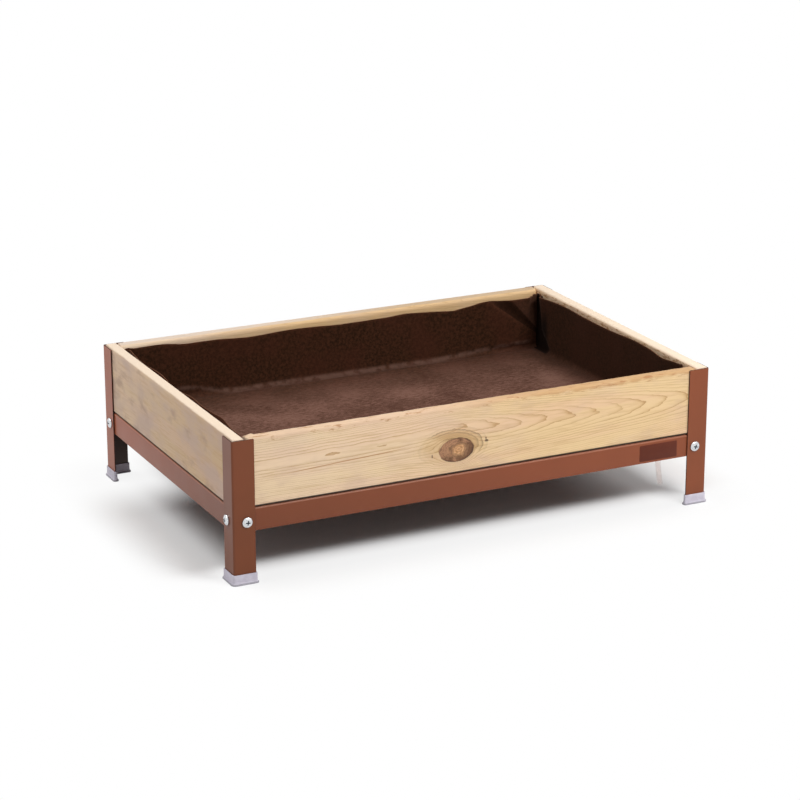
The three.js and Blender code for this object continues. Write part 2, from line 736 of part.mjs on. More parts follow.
SIDES.forEach(({ name, span, off, ends, board }, quarter) => {
  const side = new THREE.Group();
  side.rotation.z = (quarter * Math.PI) / 2;
  side.position.set(0, -off, 0).applyEuler(side.rotation);
  side.add(piece(`rail_${name}`, rail(span), 'paint'));
  side.add(piece(`board_${name}`, board(name), 'pine'));
  ends.forEach((end, i) => {
    const sign = 2 * i - 1;
    const stack = new THREE.Group();
    stack.position.set(sign * (span / 2 - BOLT_INSET), 0, BOLT_Z);
    stack.rotation.x = -Math.PI / 2;
    stack.add(piece(`bolt_${name}_${end}`, bolt(), 'zinc'));
    stack.add(piece(`washer_${name}_${end}`, washer(), 'zinc'));
    stack.add(piece(`nut_${name}_${end}`, nut(), 'zinc'));
    side.add(stack);
    if (board === shortBoard) {
      Object.entries(SCREW_HEIGHTS).forEach(([level, z]) => {
        const screw = piece(`wood_screw_${name}_${end}_${level}`, woodScrew(0, SCREW_SINK), 'zinc');
        screw.position.set(sign * (span / 2 - BOARD_MIDDLE), BOARD_FACE, z);
        screw.rotation.x = -Math.PI / 2;
        side.add(screw);
      });
    }
  });
  planter.add(side);
});

planter.add(piece('drain_tray', tray(), 'paint'));
['left', 'right'].forEach((name, i) => {
  const support = piece(`support_bar_${name}`, supportBar(), 'paint');
  support.position.x = (i - 0.5) * BAR_SPACING;
  planter.add(support);
});

const drain = new THREE.Group();
drain.position.set(...DRAIN, 0);
drain.add(piece('drain_spigot', drainSpigot(), 'black_plastic'));
drain.add(piece('drain_seal', drainSeal(), 'rubber'));
drain.add(piece('drain_nut', drainNut(), 'black_plastic'));
drain.add(piece('drain_hose', drainHose(), 'hose'));
planter.add(drain);

planter.add(piece('liner', liner(), 'felt'));

export default planter;
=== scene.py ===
"""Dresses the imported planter: a camera, studio light, and finer steel, pine, felt and fittings.

The frame's units are metres. Sizes here are written in millimetres and scaled when a mesh is made.
Each side has its own frame: l runs along the side, t inwards from the legs' outer faces, and z up.
"""
import math
from functools import partialmethod

import bmesh
import bpy
import numpy as np
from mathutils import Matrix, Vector, noise


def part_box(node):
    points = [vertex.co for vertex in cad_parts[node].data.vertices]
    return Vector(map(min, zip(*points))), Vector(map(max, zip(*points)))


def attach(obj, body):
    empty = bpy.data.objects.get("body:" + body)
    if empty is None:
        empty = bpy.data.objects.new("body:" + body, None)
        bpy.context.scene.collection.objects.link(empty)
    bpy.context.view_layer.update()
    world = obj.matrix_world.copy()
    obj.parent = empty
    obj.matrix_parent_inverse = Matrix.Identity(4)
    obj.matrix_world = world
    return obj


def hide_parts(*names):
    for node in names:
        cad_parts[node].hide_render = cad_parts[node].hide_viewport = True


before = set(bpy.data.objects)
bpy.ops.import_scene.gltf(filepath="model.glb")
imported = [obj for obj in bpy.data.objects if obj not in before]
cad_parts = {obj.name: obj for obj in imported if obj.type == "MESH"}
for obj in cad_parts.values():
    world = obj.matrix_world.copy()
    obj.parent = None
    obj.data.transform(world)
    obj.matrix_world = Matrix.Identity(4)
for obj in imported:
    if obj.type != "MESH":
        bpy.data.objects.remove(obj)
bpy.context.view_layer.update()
MM = 0.001

# Overall sizes, from the frame
LEG_LOW, LEG_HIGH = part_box("leg_front_left")
HALF_LENGTH = -LEG_LOW.x / MM
HALF_DEPTH = -LEG_LOW.y / MM
HEIGHT = LEG_HIGH.z / MM

# Sides, counter-clockwise from the front: quarter turns, half length, offset from the middle
SIDES = {
    "front": (0, HALF_LENGTH, HALF_DEPTH),
    "right": (1, HALF_DEPTH, HALF_LENGTH),
    "rear": (2, HALF_LENGTH, HALF_DEPTH),
    "left": (3, HALF_DEPTH, HALF_LENGTH),
}
LONG_SIDES = ("front", "rear")
# The corner at the left end of each side
CORNERS = ("front_left", "front_right", "rear_right", "rear_left")


# Camera

CAMERA_AIM = Vector((-0.0032, 0, 0.1478))
CAMERA_AZIMUTH = math.radians(-26.13)
CAMERA_ELEVATION = math.radians(18.21)
CAMERA_DISTANCE = 4.1231
CAMERA_LENS = 117.57
CAMERA_SENSOR = 36


def add_object(name, data):
    obj = bpy.data.objects.new(name, data)
    bpy.context.scene.collection.objects.link(obj)
    return obj


def add_camera():
    data = bpy.data.cameras.new("camera")
    data.sensor_width = CAMERA_SENSOR
    data.lens = CAMERA_LENS
    camera = add_object("camera", data)
    level, rise = math.cos(CAMERA_ELEVATION), math.sin(CAMERA_ELEVATION)
    back = Vector((math.sin(CAMERA_AZIMUTH) * level, -math.cos(CAMERA_AZIMUTH) * level, rise))
    camera.location = CAMERA_AIM + back * CAMERA_DISTANCE
    camera.rotation_euler = back.to_track_quat("Z", "Y").to_euler()
    bpy.context.scene.camera = camera


# Shader helpers

def srgb(*levels):
    """A display colour, 0 to 255, as linear light."""
    shares = [level / 255 for level in levels]
    return tuple(s / 12.92 if s <= 0.04045 else ((s + 0.055) / 1.055) ** 2.4 for s in shares)


def feed(tree, socket, value):
    value = getattr(value, "socket", value)
    if isinstance(value, bpy.types.NodeSocket):
        tree.links.new(value, socket)
    elif socket.type == "RGBA":
        socket.default_value = (*value, 1)
    else:
        socket.default_value = value


def feed_node(tree, node, **values):
    """Sets or links a node's inputs, named with _ for a space."""
    for name, value in values.items():
        feed(tree, node.inputs[name.replace("_", " ")], value)


class Field:
    """A number in a shader: arithmetic on it adds math nodes."""

    def __init__(self, tree, socket):
        self.tree = tree
        self.socket = socket

    def math(self, operation, *others):
        node = self.tree.nodes.new("ShaderNodeMath")
        node.operation = operation
        for socket, value in zip(node.inputs, (self, *others)):
            feed(self.tree, socket, value)
        return Field(self.tree, node.outputs[0])

    __add__ = partialmethod(math, "ADD")
    __sub__ = partialmethod(math, "SUBTRACT")
    __mul__ = partialmethod(math, "MULTIPLY")
    __truediv__ = partialmethod(math, "DIVIDE")
    __pow__ = partialmethod(math, "POWER")

    def __neg__(self):
        return self * -1

    def between(self, low, high):
        """Rises smoothly from 0 at low to 1 at high, or falls where low is the larger."""
        node = self.tree.nodes.new("ShaderNodeMapRange")
        node.interpolation_type = "SMOOTHSTEP"
        feed_node(self.tree, node, Value=self, From_Min=low, From_Max=high)
        return Field(self.tree, node.outputs[0])


class Looks:
    """A material under construction, in millimetres of the row frame."""

    def __init__(self, name):
        self.material = bpy.data.materials.new(name)
        self.material.use_nodes = True
        self.tree = self.material.node_tree
        self.shader = self.tree.nodes["Principled BSDF"]
        self.place = self.node("ShaderNodeTexCoord").outputs["Object"]
        self.tone = None

    def node(self, kind, **values):
        node = self.tree.nodes.new(kind)
        feed_node(self.tree, node, **values)
        return node

    def set(self, **values):
        feed_node(self.tree, self.shader, **values)

    def axes(self):
        split = self.node("ShaderNodeSeparateXYZ", Vector=self.place)
        return [Field(self.tree, socket) * (1 / MM) for socket in split.outputs]

    def noise(self, size, stretch=(1, 1, 1), detail=3, rough=0.5, shift=0):
        """Noise around 0.5 with features of that size, drawn out along the axes by stretch."""
        scale = [1 / (MM * size * s) for s in stretch]
        start = (shift, shift * 0.7, shift * 1.3)
        place = self.node("ShaderNodeMapping", Vector=self.place, Scale=scale, Location=start).outputs[0]
        cloud = self.node("ShaderNodeTexNoise", Vector=place, Scale=1, Detail=detail, Roughness=rough)
        return Field(self.tree, cloud.outputs[0])

    def scatter(self, number):
        """A level from 0 to 1, drawn at random for each whole number."""
        node = self.node("ShaderNodeTexWhiteNoise")
        node.noise_dimensions = "1D"
        feed(self.tree, node.inputs["W"], number)
        return Field(self.tree, node.outputs["Value"])

    def mix(self, factor, first, second):
        node = self.node("ShaderNodeMix")
        node.data_type = "RGBA"
        feed(self.tree, node.inputs[0], factor)
        feed(self.tree, node.inputs[6], first)
        feed(self.tree, node.inputs[7], second)
        return node.outputs[2]

    def coat(self, factor, colour):
        """Lays a colour over the tone so far."""
        self.tone = self.mix(factor, self.tone, colour)

    def bump(self, height, depth, strength=1):
        node = self.node("ShaderNodeBump", Strength=strength, Distance=depth * MM, Height=height)
        self.set(Normal=node.outputs[0])


# Finishes

PAINT_LEG = srgb(116, 61, 32)
PAINT_RAIL = srgb(120, 63, 36)
# Paler paint: painted light and reflection to the right and the rear
PAINT_LIT = srgb(162, 85, 53)
# A darker copy of the paint: painted shade on the tray, the bars and the legs' inner faces
PAINT_SHADED = srgb(54, 36, 29)
PAINT_SHADED_LIT = srgb(62, 41, 33)
PAINT_SCUFF = srgb(74, 40, 30)
# Painted highlight along the rails' top bend
PAINT_HIGHLIGHT = srgb(206, 146, 120)


def paint(name, fresh, lit_colour, scuffed=0, highlight_from=None):
    """Paint that is paler to the right and the rear: painted light and reflection that fall there.

    scuffed: how far the bends are worn dark. highlight_from: the height from which a painted highlight runs
    along the top bend.
    """
    looks = Looks(name)
    cloud = looks.noise(120, detail=2)
    speck = looks.noise(1.4, detail=2)
    x, y, z = looks.axes()
    # Painted light and reflection: paler to the right and the rear
    painted_light = x.between(-HALF_LENGTH, HALF_LENGTH) * 0.28 + y.between(-HALF_DEPTH, HALF_DEPTH) * 0.85
    looks.tone = looks.mix((painted_light + cloud.between(0.3, 0.7) * 0.1).math("MINIMUM", 1), fresh, lit_colour)
    if scuffed:
        convex = Field(looks.tree, looks.node("ShaderNodeNewGeometry").outputs["Pointiness"])
        scuff = convex.between(0.52, 0.6) * (looks.noise(20).between(0.35, 0.6) * 0.5 + 0.3)
        looks.coat(scuff * scuffed, PAINT_SCUFF)
    if highlight_from:
        # Painted highlight along the top bend
        looks.coat(z.between(highlight_from, highlight_from + 0.8) * (speck * 0.3 + 0.1), PAINT_HIGHLIGHT)
    looks.set(Base_Color=looks.tone, Roughness=looks.noise(45) * 0.14 + 0.28, Specular_IOR_Level=0.3)
    looks.bump(speck, 0.05, 0.35)
    return looks.material


def mottled(name, size, tones, stretch=(1, 1, 1), detail=3, rough=0.5, spread=(0.35, 0.65),
            dull=(0.2, 0.4), relief=None, bump=(0.05, 0.4), **values):
    """Colour and roughness follow one noise. relief: the size of another one for the bumps."""
    looks = Looks(name)
    cloud = looks.noise(size, stretch, detail, rough)
    tone = looks.mix(cloud.between(*spread) if spread else cloud, *tones)
    looks.set(Base_Color=tone, Roughness=cloud * dull[0] + dull[1], **values)
    looks.bump(looks.noise(relief) if relief else cloud, *bump)
    return looks.material


def cut_edge():
    tones = srgb(52, 29, 23), srgb(76, 42, 32)
    return mottled("cut_steel_edge", 3, tones, dull=(0.2, 0.5), bump=(0.08, 0.4), Specular_IOR_Level=0.2)


def cap_plastic():
    looks = Looks("cap_plastic")
    scuff = looks.noise(9, detail=4, rough=0.6)
    tone = looks.mix(scuff.between(0.35, 0.7), srgb(196, 190, 204), srgb(208, 203, 215))
    # The lip by the floor is painted darker: painted shade
    lip_shade = looks.axes()[2].between(3.4, 2.6) * (looks.noise(3) * 0.3 + 0.5)
    looks.set(Base_Color=looks.mix(lip_shade, tone, srgb(134, 131, 139)), Roughness=scuff * 0.2 + 0.42)
    looks.bump(looks.noise(0.8, detail=2), 0.05, 0.4)
    return looks.material


def zinc():
    tones = (0.56, 0.58, 0.61), (0.76, 0.77, 0.78)
    return mottled("bright_zinc", 2.5, tones, detail=4, rough=0.6, dull=(0.22, 0.14), relief=0.5,
                   bump=(0.03, 0.3), Metallic=1.0)


def recess_shade_zinc():
    # Dark zinc in the bolts' cross recesses: painted shade
    tones = (0.05, 0.06, 0.08), (0.16, 0.18, 0.22)
    return mottled("recess_shade", 1.2, tones, Metallic=0.6)


def black_plastic():
    tones = (0.014, 0.015, 0.017), (0.026, 0.028, 0.031)
    return mottled("black_plastic", 0.9, tones, spread=None)


def rubber():
    tones = (0.01, 0.01, 0.011), (0.03, 0.03, 0.03)
    return mottled("black_rubber", 4, tones, detail=4, spread=(0.4, 0.8), dull=(0.15, 0.7), relief=0.6)


def clear_hose():
    tones = srgb(250, 244, 242), srgb(254, 250, 249)
    return mottled("clear_hose", 6, tones, stretch=(1, 1, 4), detail=2, spread=None, dull=(0.1, 0.02),
                   bump=(0.1, 0.2), IOR=1.025, Transmission_Weight=0.96)


def sticker():
    tones = srgb(90, 42, 29), srgb(101, 49, 34)
    return mottled("blank_sticker", 14, tones, detail=2, spread=None, dull=(0.15, 0.3), relief=5,
                   bump=(0.03, 0.3), Specular_IOR_Level=0.15)


# Felt: dust and a painted sheen lie below these heights, and more so at these distances from the walls
FELT_DUST_AND_SHEEN = (130, 120)
FELT_SIDE_DUST_AND_SHEEN = (0, 70)
FELT_REAR_DUST_AND_SHEEN = (8, 170)

# Two slanting folds of a flap beside the liner's rear right corner: distance from it, height, slope
PLEAT_FIRST = (99, 214, 0.728)
PLEAT_SECOND = (54, 207, 1.077)


def over_fold(fold, from_corner, z):
    """How high a place is above a slanting fold, for numbers and for fields."""
    place, height, slope = fold
    return z - (from_corner - place) * slope - height


def crease_height(x):
    """Height of the fold along the rear wall's foot, which carries a painted highlight and climbs to both
    corners.
    """
    return x.between(170, 350) * 11 + x.between(-180, -280) * 15 + 121.5


def coat_pleat(looks, x, y, z):
    """Painted shade in the flap's hollow and in the deep fold by the rear right corner, and a painted
    highlight on the flap.
    """
    from_corner = -x + LINER_HALF[0]
    rear = y.between(226, 232)
    over_first = over_fold(PLEAT_FIRST, from_corner, z)
    over_second = over_fold(PLEAT_SECOND, from_corner, z)
    # Painted shade in the hollow between the flap's folds
    hollow_shade = over_first.between(-1, 1) * over_second.between(3, -3) * from_corner.between(105, 75) * rear
    looks.coat(hollow_shade * 0.6, srgb(20, 11, 5))
    # Painted highlight on the flap
    flap = over_second.between(-1, 2) * from_corner.between(56, 50) * rear
    looks.coat(flap * 0.35, srgb(92, 64, 52))
    # Painted shade in the deep fold by the corner
    run_on = y.between(232.6, 233.4) * x.between(373, 372)
    fold = x.between(366.5, 369.5) * y.between(188, 200) * (-run_on + 1)
    looks.coat(fold * 0.9, srgb(10, 5, 3))


def coat_felt(looks, fibre, clump):
    """Clumps, dust with a painted sheen, painted shade, and a painted highlight on the rear wall's fold."""
    x, y, z = looks.axes()
    cloud = looks.noise(90, detail=2)
    looks.tone = looks.mix(clump.between(0.35, 0.65), srgb(46, 28, 16), srgb(74, 44, 29))
    looks.coat(cloud.between(0.4, 0.65) * 0.5, srgb(75, 40, 28))
    # Painted shade on the right wall
    looks.coat(x.between(355, 368) * 0.5, srgb(38, 20, 9))
    looks.coat(fibre.between(0.5, 0.8) * 0.5, srgb(88, 58, 43))
    inside_x = -x.math("ABSOLUTE") + LINER_HALF[0]
    inside_y = -y.math("ABSOLUTE") + LINER_HALF[1]
    # Dust and painted sheen thin out towards the walls
    worn = inside_x.between(*FELT_SIDE_DUST_AND_SHEEN) * inside_y.between(*FELT_REAR_DUST_AND_SHEEN)
    dust_and_sheen = z.between(*FELT_DUST_AND_SHEEN) * (worn * 0.8 + 0.2)
    brushed = looks.noise(5, stretch=(2, 1, 1), detail=4, rough=0.7)
    grit = (brushed * 0.7 + fibre * 0.5 + cloud * 0.5).between(0.66, 1.04)
    looks.coat(dust_and_sheen, looks.mix(grit, srgb(76, 48, 37), srgb(126, 91, 78)))
    # Painted highlight along the fold at the rear wall's foot
    at_crease = (z - crease_height(x)).math("ABSOLUTE").between(6, 0.5)
    crease_highlight = at_crease * y.between(224, 231) * x.between(366, 350)
    crease_highlight = crease_highlight * looks.noise(14, detail=4).between(0.3, 0.6)
    looks.coat(crease_highlight * 0.6, srgb(112, 84, 73))
    coat_pleat(looks, x, y, z)


def felt():
    looks = Looks("brown_felt")
    fibre = looks.noise(1.6, detail=4, rough=0.7)
    clump = looks.noise(5, detail=4, rough=0.7)
    coat_felt(looks, fibre, clump)
    looks.set(Base_Color=looks.tone, Roughness=0.95, Specular_IOR_Level=0.05)
    looks.set(Sheen_Weight=0.06, Sheen_Roughness=0.5, Sheen_Tint=srgb(214, 180, 166))
    looks.bump(fibre * 0.6 + clump * 0.4, 0.7, 0.8)
    return looks.material


def felt_edge():
    tones = srgb(84, 54, 39), srgb(128, 90, 68)
    return mottled("felt_cut_edge", 1.6, tones, detail=4, rough=0.7, dull=(0, 0.95), bump=(0.5, 0.7),
                   Specular_IOR_Level=0.05)


# Pine: growth rings about a pith line that runs behind the board, with knots that bend them

BOARD_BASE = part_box("board_front")[0].z / MM
BOARD_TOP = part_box("board_front")[1].z / MM
BOARD_THICK = 18
BOARD_FACE = 2.3

PINE_LIGHT = srgb(226, 196, 149)
PINE_LATE = srgb(180, 138, 86)
PINE_PEACH = srgb(226, 188, 154)
PINE_STAIN = srgb(214, 186, 170)
PINE_SPOT = srgb(196, 162, 142)
PINE_CREAM = srgb(245, 224, 200)
PINE_PINK = srgb(224, 190, 160)
PINE_TAN = srgb(192, 146, 96)
PINE_TORN = srgb(176, 124, 78)
# Painted shade in the groove between a board's foot and the rail
PINE_GROOVE_SHADE = srgb(36, 22, 15)
KNOT_BODY = srgb(174, 128, 94)
KNOT_DARK = srgb(112, 77, 50)
KNOT_HEART = srgb(180, 130, 82)
KNOT_PALE = srgb(216, 168, 122)
KNOT_RIM = srgb(72, 46, 36)
KNOT_HALO = srgb(186, 146, 98)
KNOT_LINE = srgb(118, 90, 54)


class Wood(Looks):
    """The pine of one board. Depth is from its outer face, and height above its base."""

    def __init__(self, side, seed):
        super().__init__("pine_" + side)
        self.seed = seed
        x, y, z = self.axes()
        self.is_long = side in LONG_SIDES
        face = SIDES[side][2] - BOARD_FACE
        self.length, outwards = (x, y) if self.is_long else (y, x)
        self.depth = outwards + face if side in ("front", "left") else -outwards + face
        self.height = z - BOARD_BASE

    def drawn(self, size, salt, by=12, **how):
        """Noise drawn out along the board."""
        stretch = (by, 1, 1) if self.is_long else (1, by, 1)
        return self.noise(size, stretch, shift=self.seed + salt, **how)

    def offset(self, along, up, wide, tall):
        """Distances to the right of an oval's middle and above it, 1 at its edge."""
        return (self.length - along) / wide, (self.height - up) / tall

    def oval(self, *oval):
        rightwards, upwards = self.offset(*oval)
        return (rightwards ** 2 + upwards ** 2) ** 0.5


def ragged_oval(wood, oval, ragged=0.24, size=13):
    """Distance from the middle of an oval with an uneven edge, about 1 there."""
    return wood.oval(*oval) * ((wood.noise(size, shift=oval[0]) - 0.5) * ragged + 1)


def coat_halo(wood, knot, mottle, broken):
    """Growth lines squeezed round a knot, most of all above and to its right."""
    along, up, wide, tall = knot
    halo = (along - 0.32 * wide, up + 0.25 * tall, 2.05 * wide, 1.7 * tall)
    eye = ragged_oval(wood, halo, 0.1)
    rightwards, upwards = wood.offset(*knot)
    above = (upwards + rightwards * 0.6).between(0, 0.9)
    leftwards = (upwards - rightwards).between(0.4, 1.4) * 0.15
    shown = above.math("MAXIMUM", leftwards)
    wood.coat(eye.between(1.05, 0.55) * (shown * 0.5 + 0.25), KNOT_HALO)
    count = eye * 7 + mottle * 0.5 + broken
    strength = wood.scatter(count.math("FLOOR")) * 0.9 + 0.1
    arcs = count.math("FRACT") ** 2.5 * strength * eye.between(1.15, 0.8) * shown
    wood.coat(arcs * 0.95, KNOT_LINE)


def knot_inside(wood, knot, mottle, broken):
    """A knot's own wood: mottled brown, with a paler heart off its middle."""
    along, up, wide, tall = knot
    middle = (along + 0.14 * wide, up + 0.04 * tall, 0.36 * wide, 0.46 * tall)
    core = ragged_oval(wood, middle, 1.1, 9)
    rightwards, upwards = wood.offset(*knot)
    lines = (core * 2.4 + broken * 0.9 + mottle * 0.5).math("FRACT") ** 3
    patch = wood.noise(9, shift=along + 7)
    shade = (rightwards * 0.3 - upwards * 0.2 + mottle + patch * 1.5 - 0.75).between(0.1, 0.9)
    body = wood.mix(shade, KNOT_BODY, KNOT_DARK)
    body = wood.mix(lines * 0.6, body, KNOT_RIM)
    heart = wood.mix(mottle.between(0.4, 0.6), KNOT_HEART, KNOT_PALE)
    heart = wood.mix(lines * 0.6, heart, KNOT_DARK)
    inside = wood.mix(core.between(1.7, 0.5), body, heart)
    ring = core.between(0.9, 1.05) * core.between(1.5, 1.15) * broken.between(0.4, 0.55)
    return wood.mix(ring * 0.4, inside, KNOT_RIM)


def coat_knot(wood, knot):
    along = knot[0]
    reach = ragged_oval(wood, knot)
    mottle = wood.noise(3.5, detail=4, rough=0.7, shift=along)
    broken = wood.noise(15, shift=along + 2)
    coat_halo(wood, knot, mottle, broken)
    inside = knot_inside(wood, knot, mottle, broken)
    rim = reach.between(0.86, 0.98) * wood.noise(18, shift=along + 5).between(0.35, 0.6)
    inside = wood.mix(rim * 0.85, inside, KNOT_RIM)
    wood.coat(reach.between(1.03, 0.97), inside)


def crack_line(wood, crack):
    """A hairline split between two points of the face, faded at its ends."""
    (left, low), (right, high) = crack
    rise = (wood.length - left) * ((high - low) / (right - left)) + low
    off = (wood.height - rise + wood.noise(40) - 0.5).math("ABSOLUTE")
    ends = wood.length.between(left, left + 60), wood.length.between(right, right - 60)
    return off.between(1.1, 0.4) * ends[0] * ends[1]


def late_wood(wood, pith, spacing, knots):
    """The dark ends of the growth rings, which lie about the pith and bend round the knots."""
    flow = wood.height + (wood.drawn(26, 0, detail=2) - 0.5) * 8
    near = 0
    for knot in knots:
        reach = ragged_oval(wood, knot)
        flow = flow - (wood.height - knot[1]) * reach.math("MAXIMUM", 1) ** -2
        near = reach.between(2, 1.1) * 0.5 + near
    pith_height, pith_depth, sink, sinks_from = pith
    below = wood.depth + pith_depth + (wood.length - sinks_from).math("MAXIMUM", 0) * sink
    radius = ((flow - pith_height) ** 2 + below ** 2) ** 0.5
    wavy = wood.drawn(40, 3) * 1.6
    jagged = wood.drawn(9, 0, 4) * 0.9
    rings = radius * (radius / 150 + 1) / spacing + (wavy + jagged)
    ring = rings.math("FRACT")
    strength = wood.scatter(rings.math("FLOOR") + wood.seed) * 0.7 + 0.35
    patchy = wood.drawn(50, 5).between(0.25, 0.6) * 0.5 + 0.5
    return (ring ** 8 + ring ** 2 * 0.15) * (strength * patchy + near)


def coat_weather(wood, grey, worn):
    stain = wood.noise(50, stretch=(2, 2, 1), shift=wood.seed + 8)
    wood.coat(stain.between(0.42, 0.66) * grey, worn[0])
    spots = wood.noise(26, stretch=(2, 2, 1), rough=0.55, shift=wood.seed + 17)
    wood.coat(spots.between(0.52, 0.74) * grey, worn[1])


def coat_arris(wood, top, torn, arris_at):
    """The top edge, in two colours from end to end, ragged where it is torn. A pale cream top is a painted
    highlight.
    """
    ragged = wood.drawn(10, 20, 4, detail=4, rough=0.65)
    level = wood.height + (ragged - 0.5) * (22 * torn + 2)
    arris = level.between(arris_at[0] - 5 * torn, arris_at[1] - 2.5 * torn)
    colour = wood.mix(wood.length.between(-150, 150), *top)
    wood.coat(arris * (-0.25 * torn + 0.9), colour)


def coat_torn(wood, torn, flecks):
    """Torn spots under the top arris, and flecks along the top of the inner face."""
    rough = wood.drawn(7, 23, 4, detail=4, rough=0.7)
    wood.coat(wood.height.between(96, 99) * rough.between(0.54, 0.66) * torn, PINE_TORN)
    bark = wood.drawn(4, 26, 4, detail=4, rough=0.7)
    inner = wood.depth.between(13.5, 15.5) * wood.height.between(93, 97) * wood.height.between(104.6, 103.4)
    wood.coat(inner * bark.between(0.5, 0.6) * flecks, PINE_TORN)


def pine(side, seed, pith, spacing, knots=(), grain=1, tones=(PINE_LIGHT, PINE_PEACH), paling=(0, 1, 0),
         grey=0.25, worn=(PINE_STAIN, PINE_SPOT), crack=None, nicks=(), top=(PINE_CREAM, PINE_CREAM),
         torn=0, arris_at=(103.5, 105.5), flecks=0):
    """The wood of one board.

    pith: its height, its depth behind the outer face, how fast it sinks, and from where along the board.
    paling: where along the board it starts to pale, where it is palest, and how far.
    """
    wood = Wood(side, seed)
    late = late_wood(wood, pith, spacing, knots) * grain
    fibre = wood.drawn(4.4, -seed, rough=0.6)
    band = wood.drawn(32, 14, detail=2)
    wood.tone = wood.mix(band.between(0.42, 0.62) * 0.6, *tones)
    pale_from, palest_at, paleness = paling
    wood.coat(wood.length.between(pale_from, palest_at) * paleness, PINE_CREAM)
    wood.coat(late.math("MINIMUM", 1) * 0.8, PINE_LATE)
    wood.coat(fibre.between(0.45, 0.75) * 0.3, PINE_LATE)
    coat_weather(wood, grey, worn)
    if crack:
        wood.coat(crack_line(wood, crack) * 0.8, PINE_TORN)
    for knot in knots:
        coat_knot(wood, knot)
    # The top edge; the default pale cream is a painted highlight
    coat_arris(wood, top, torn, arris_at)
    for nick in nicks:
        wood.coat(ragged_oval(wood, nick, 0.8, 3).between(1, 0.5) * 0.8, KNOT_RIM)
    coat_torn(wood, torn, flecks)
    # Painted shade in the groove between the board's foot and the rail
    wood.coat(wood.height.between(4.2, 3) * 0.95, PINE_GROOVE_SHADE)
    wood.set(Base_Color=wood.tone, Roughness=fibre * 0.2 + 0.5, Specular_IOR_Level=0.35)
    wood.bump(fibre * 0.6 - late, 0.25, 0.5)
    return wood.material


# Knots and nicks: place along the board, height above its base, half width, half height
PINE = {
    "front": dict(
        seed=1, pith=(62, 14, 0.065, -60), spacing=3.9, grain=1.5,
        knots=[(-38.5, 37.5, 29.5, 18.8)],
        crack=((-336, 43), (-100, 54)),
        # The last nick is painted shade in the gap at the board's left end
        nicks=[(12, 45, 4, 2.5), (11, 49, 1.5, 2), (-79, 33, 1.2, 4), (-381, 105, 9, 9)],
        paling=(120, -330, 0.4), top=(PINE_PINK, PINE_TAN), torn=0.8,
    ),
    "right": dict(
        seed=4, pith=(20, 60, 0.02, -200), spacing=5.6, grain=0.6,
        knots=[(95, 66, 15, 11)],
        tones=(srgb(240, 212, 174), srgb(240, 204, 174)),
        grey=0.4, flecks=0.8,
    ),
    "rear": dict(
        seed=7, pith=(44, 26, 0.06, -150), spacing=5.6, grain=0.8,
        knots=[(170, 58, 17, 13)],
        tones=(srgb(232, 195, 144), srgb(226, 183, 132)),
        paling=(-100, -330, 0.7), top=(srgb(220, 201, 184), srgb(197, 171, 141)),
    ),
    "left": dict(
        seed=10, pith=(-30, 70, 0.03, -150), spacing=5.6, grain=0.5,
        tones=(srgb(206, 175, 138), srgb(208, 173, 146)),
        grey=0.7, worn=(srgb(194, 168, 155), srgb(172, 141, 124)),
        # Its paling towards the rear is painted light
        paling=(-265, 265, 0.3), arris_at=(104.6, 105.9),
    ),
}


# Mesh helpers

SQUARE = ((-1, -1), (1, -1), (1, 1), (-1, 1))


def step(low, high, value):
    """What Field.between is for fields, for numbers."""
    share = min(max((value - low) / (high - low), 0), 1)
    return share * share * (3 - 2 * share)


def plain_object(name, points, faces):
    """An object with its faces turned outwards."""
    mesh = bpy.data.meshes.new(name)
    mesh.from_pydata(points, [], faces)
    shell = bmesh.new()
    shell.from_mesh(mesh)
    bmesh.ops.recalc_face_normals(shell, faces=shell.faces)
    shell.to_mesh(mesh)
    shell.free()
    return add_object(name, mesh)


def add_piece(name, points, faces, finishes, nodes=(), smooth=40):
    """A piece that rides on the frame, from points in millimetres, in place of CAD nodes."""
    piece = plain_object(name, [Vector(point) * MM for point in points], faces)
    piece.data.shade_smooth()
    piece.data.set_sharp_from_angle(angle=math.radians(smooth))
    for finish in finishes:
        piece.data.materials.append(finish)
    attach(piece, "root")
    if nodes:
        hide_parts(*nodes)
    return piece


def choose_finishes(piece, points, faces, choice):
    """Gives each face of a piece the finish whose number choice returns for its middle."""
    for face, polygon in zip(faces, piece.data.polygons):
        middle = sum((Vector(points[i]) for i in face), Vector()) / len(face)
        polygon.material_index = int(choice(middle))


def apply_modifiers(obj):
    seen = obj.evaluated_get(bpy.context.evaluated_depsgraph_get())
    mesh = bpy.data.meshes.new_from_object(seen)
    obj.modifiers.clear()
    obj.data = mesh


def rounded(corners, steps):
    """Corners given as (x, y, radius), as points with an arc where there is a radius."""
    points = []
    for i, (x, y, radius) in enumerate(corners):
        here = Vector((x, y))
        if not radius:
            points.append(here)
            continue
        back = (Vector(corners[i - 1][:2]) - here).normalized()
        ahead = (Vector(corners[(i + 1) % len(corners)][:2]) - here).normalized()
        half = back.angle(ahead) / 2
        centre = here + (back + ahead).normalized() * (radius / math.sin(half))
        arm = here + back * (radius / math.tan(half)) - centre
        turn = (math.pi - 2 * half) * math.copysign(1, ahead.x * back.y - ahead.y * back.x)
        for part in range(steps + 1):
            c, s = math.cos(turn * part / steps), math.sin(turn * part / steps)
            points.append(centre + Vector((arm.x * c - arm.y * s, arm.x * s + arm.y * c)))
    return points


def divided(outline, longest):
    """The outline with points added on its longer edges."""
    points = []
    for here, there in zip(outline, outline[1:] + outline[:1]):
        parts = max(1, math.ceil((there - here).length / longest))
        points += [here.lerp(there, part / parts) for part in range(parts)]
    return points


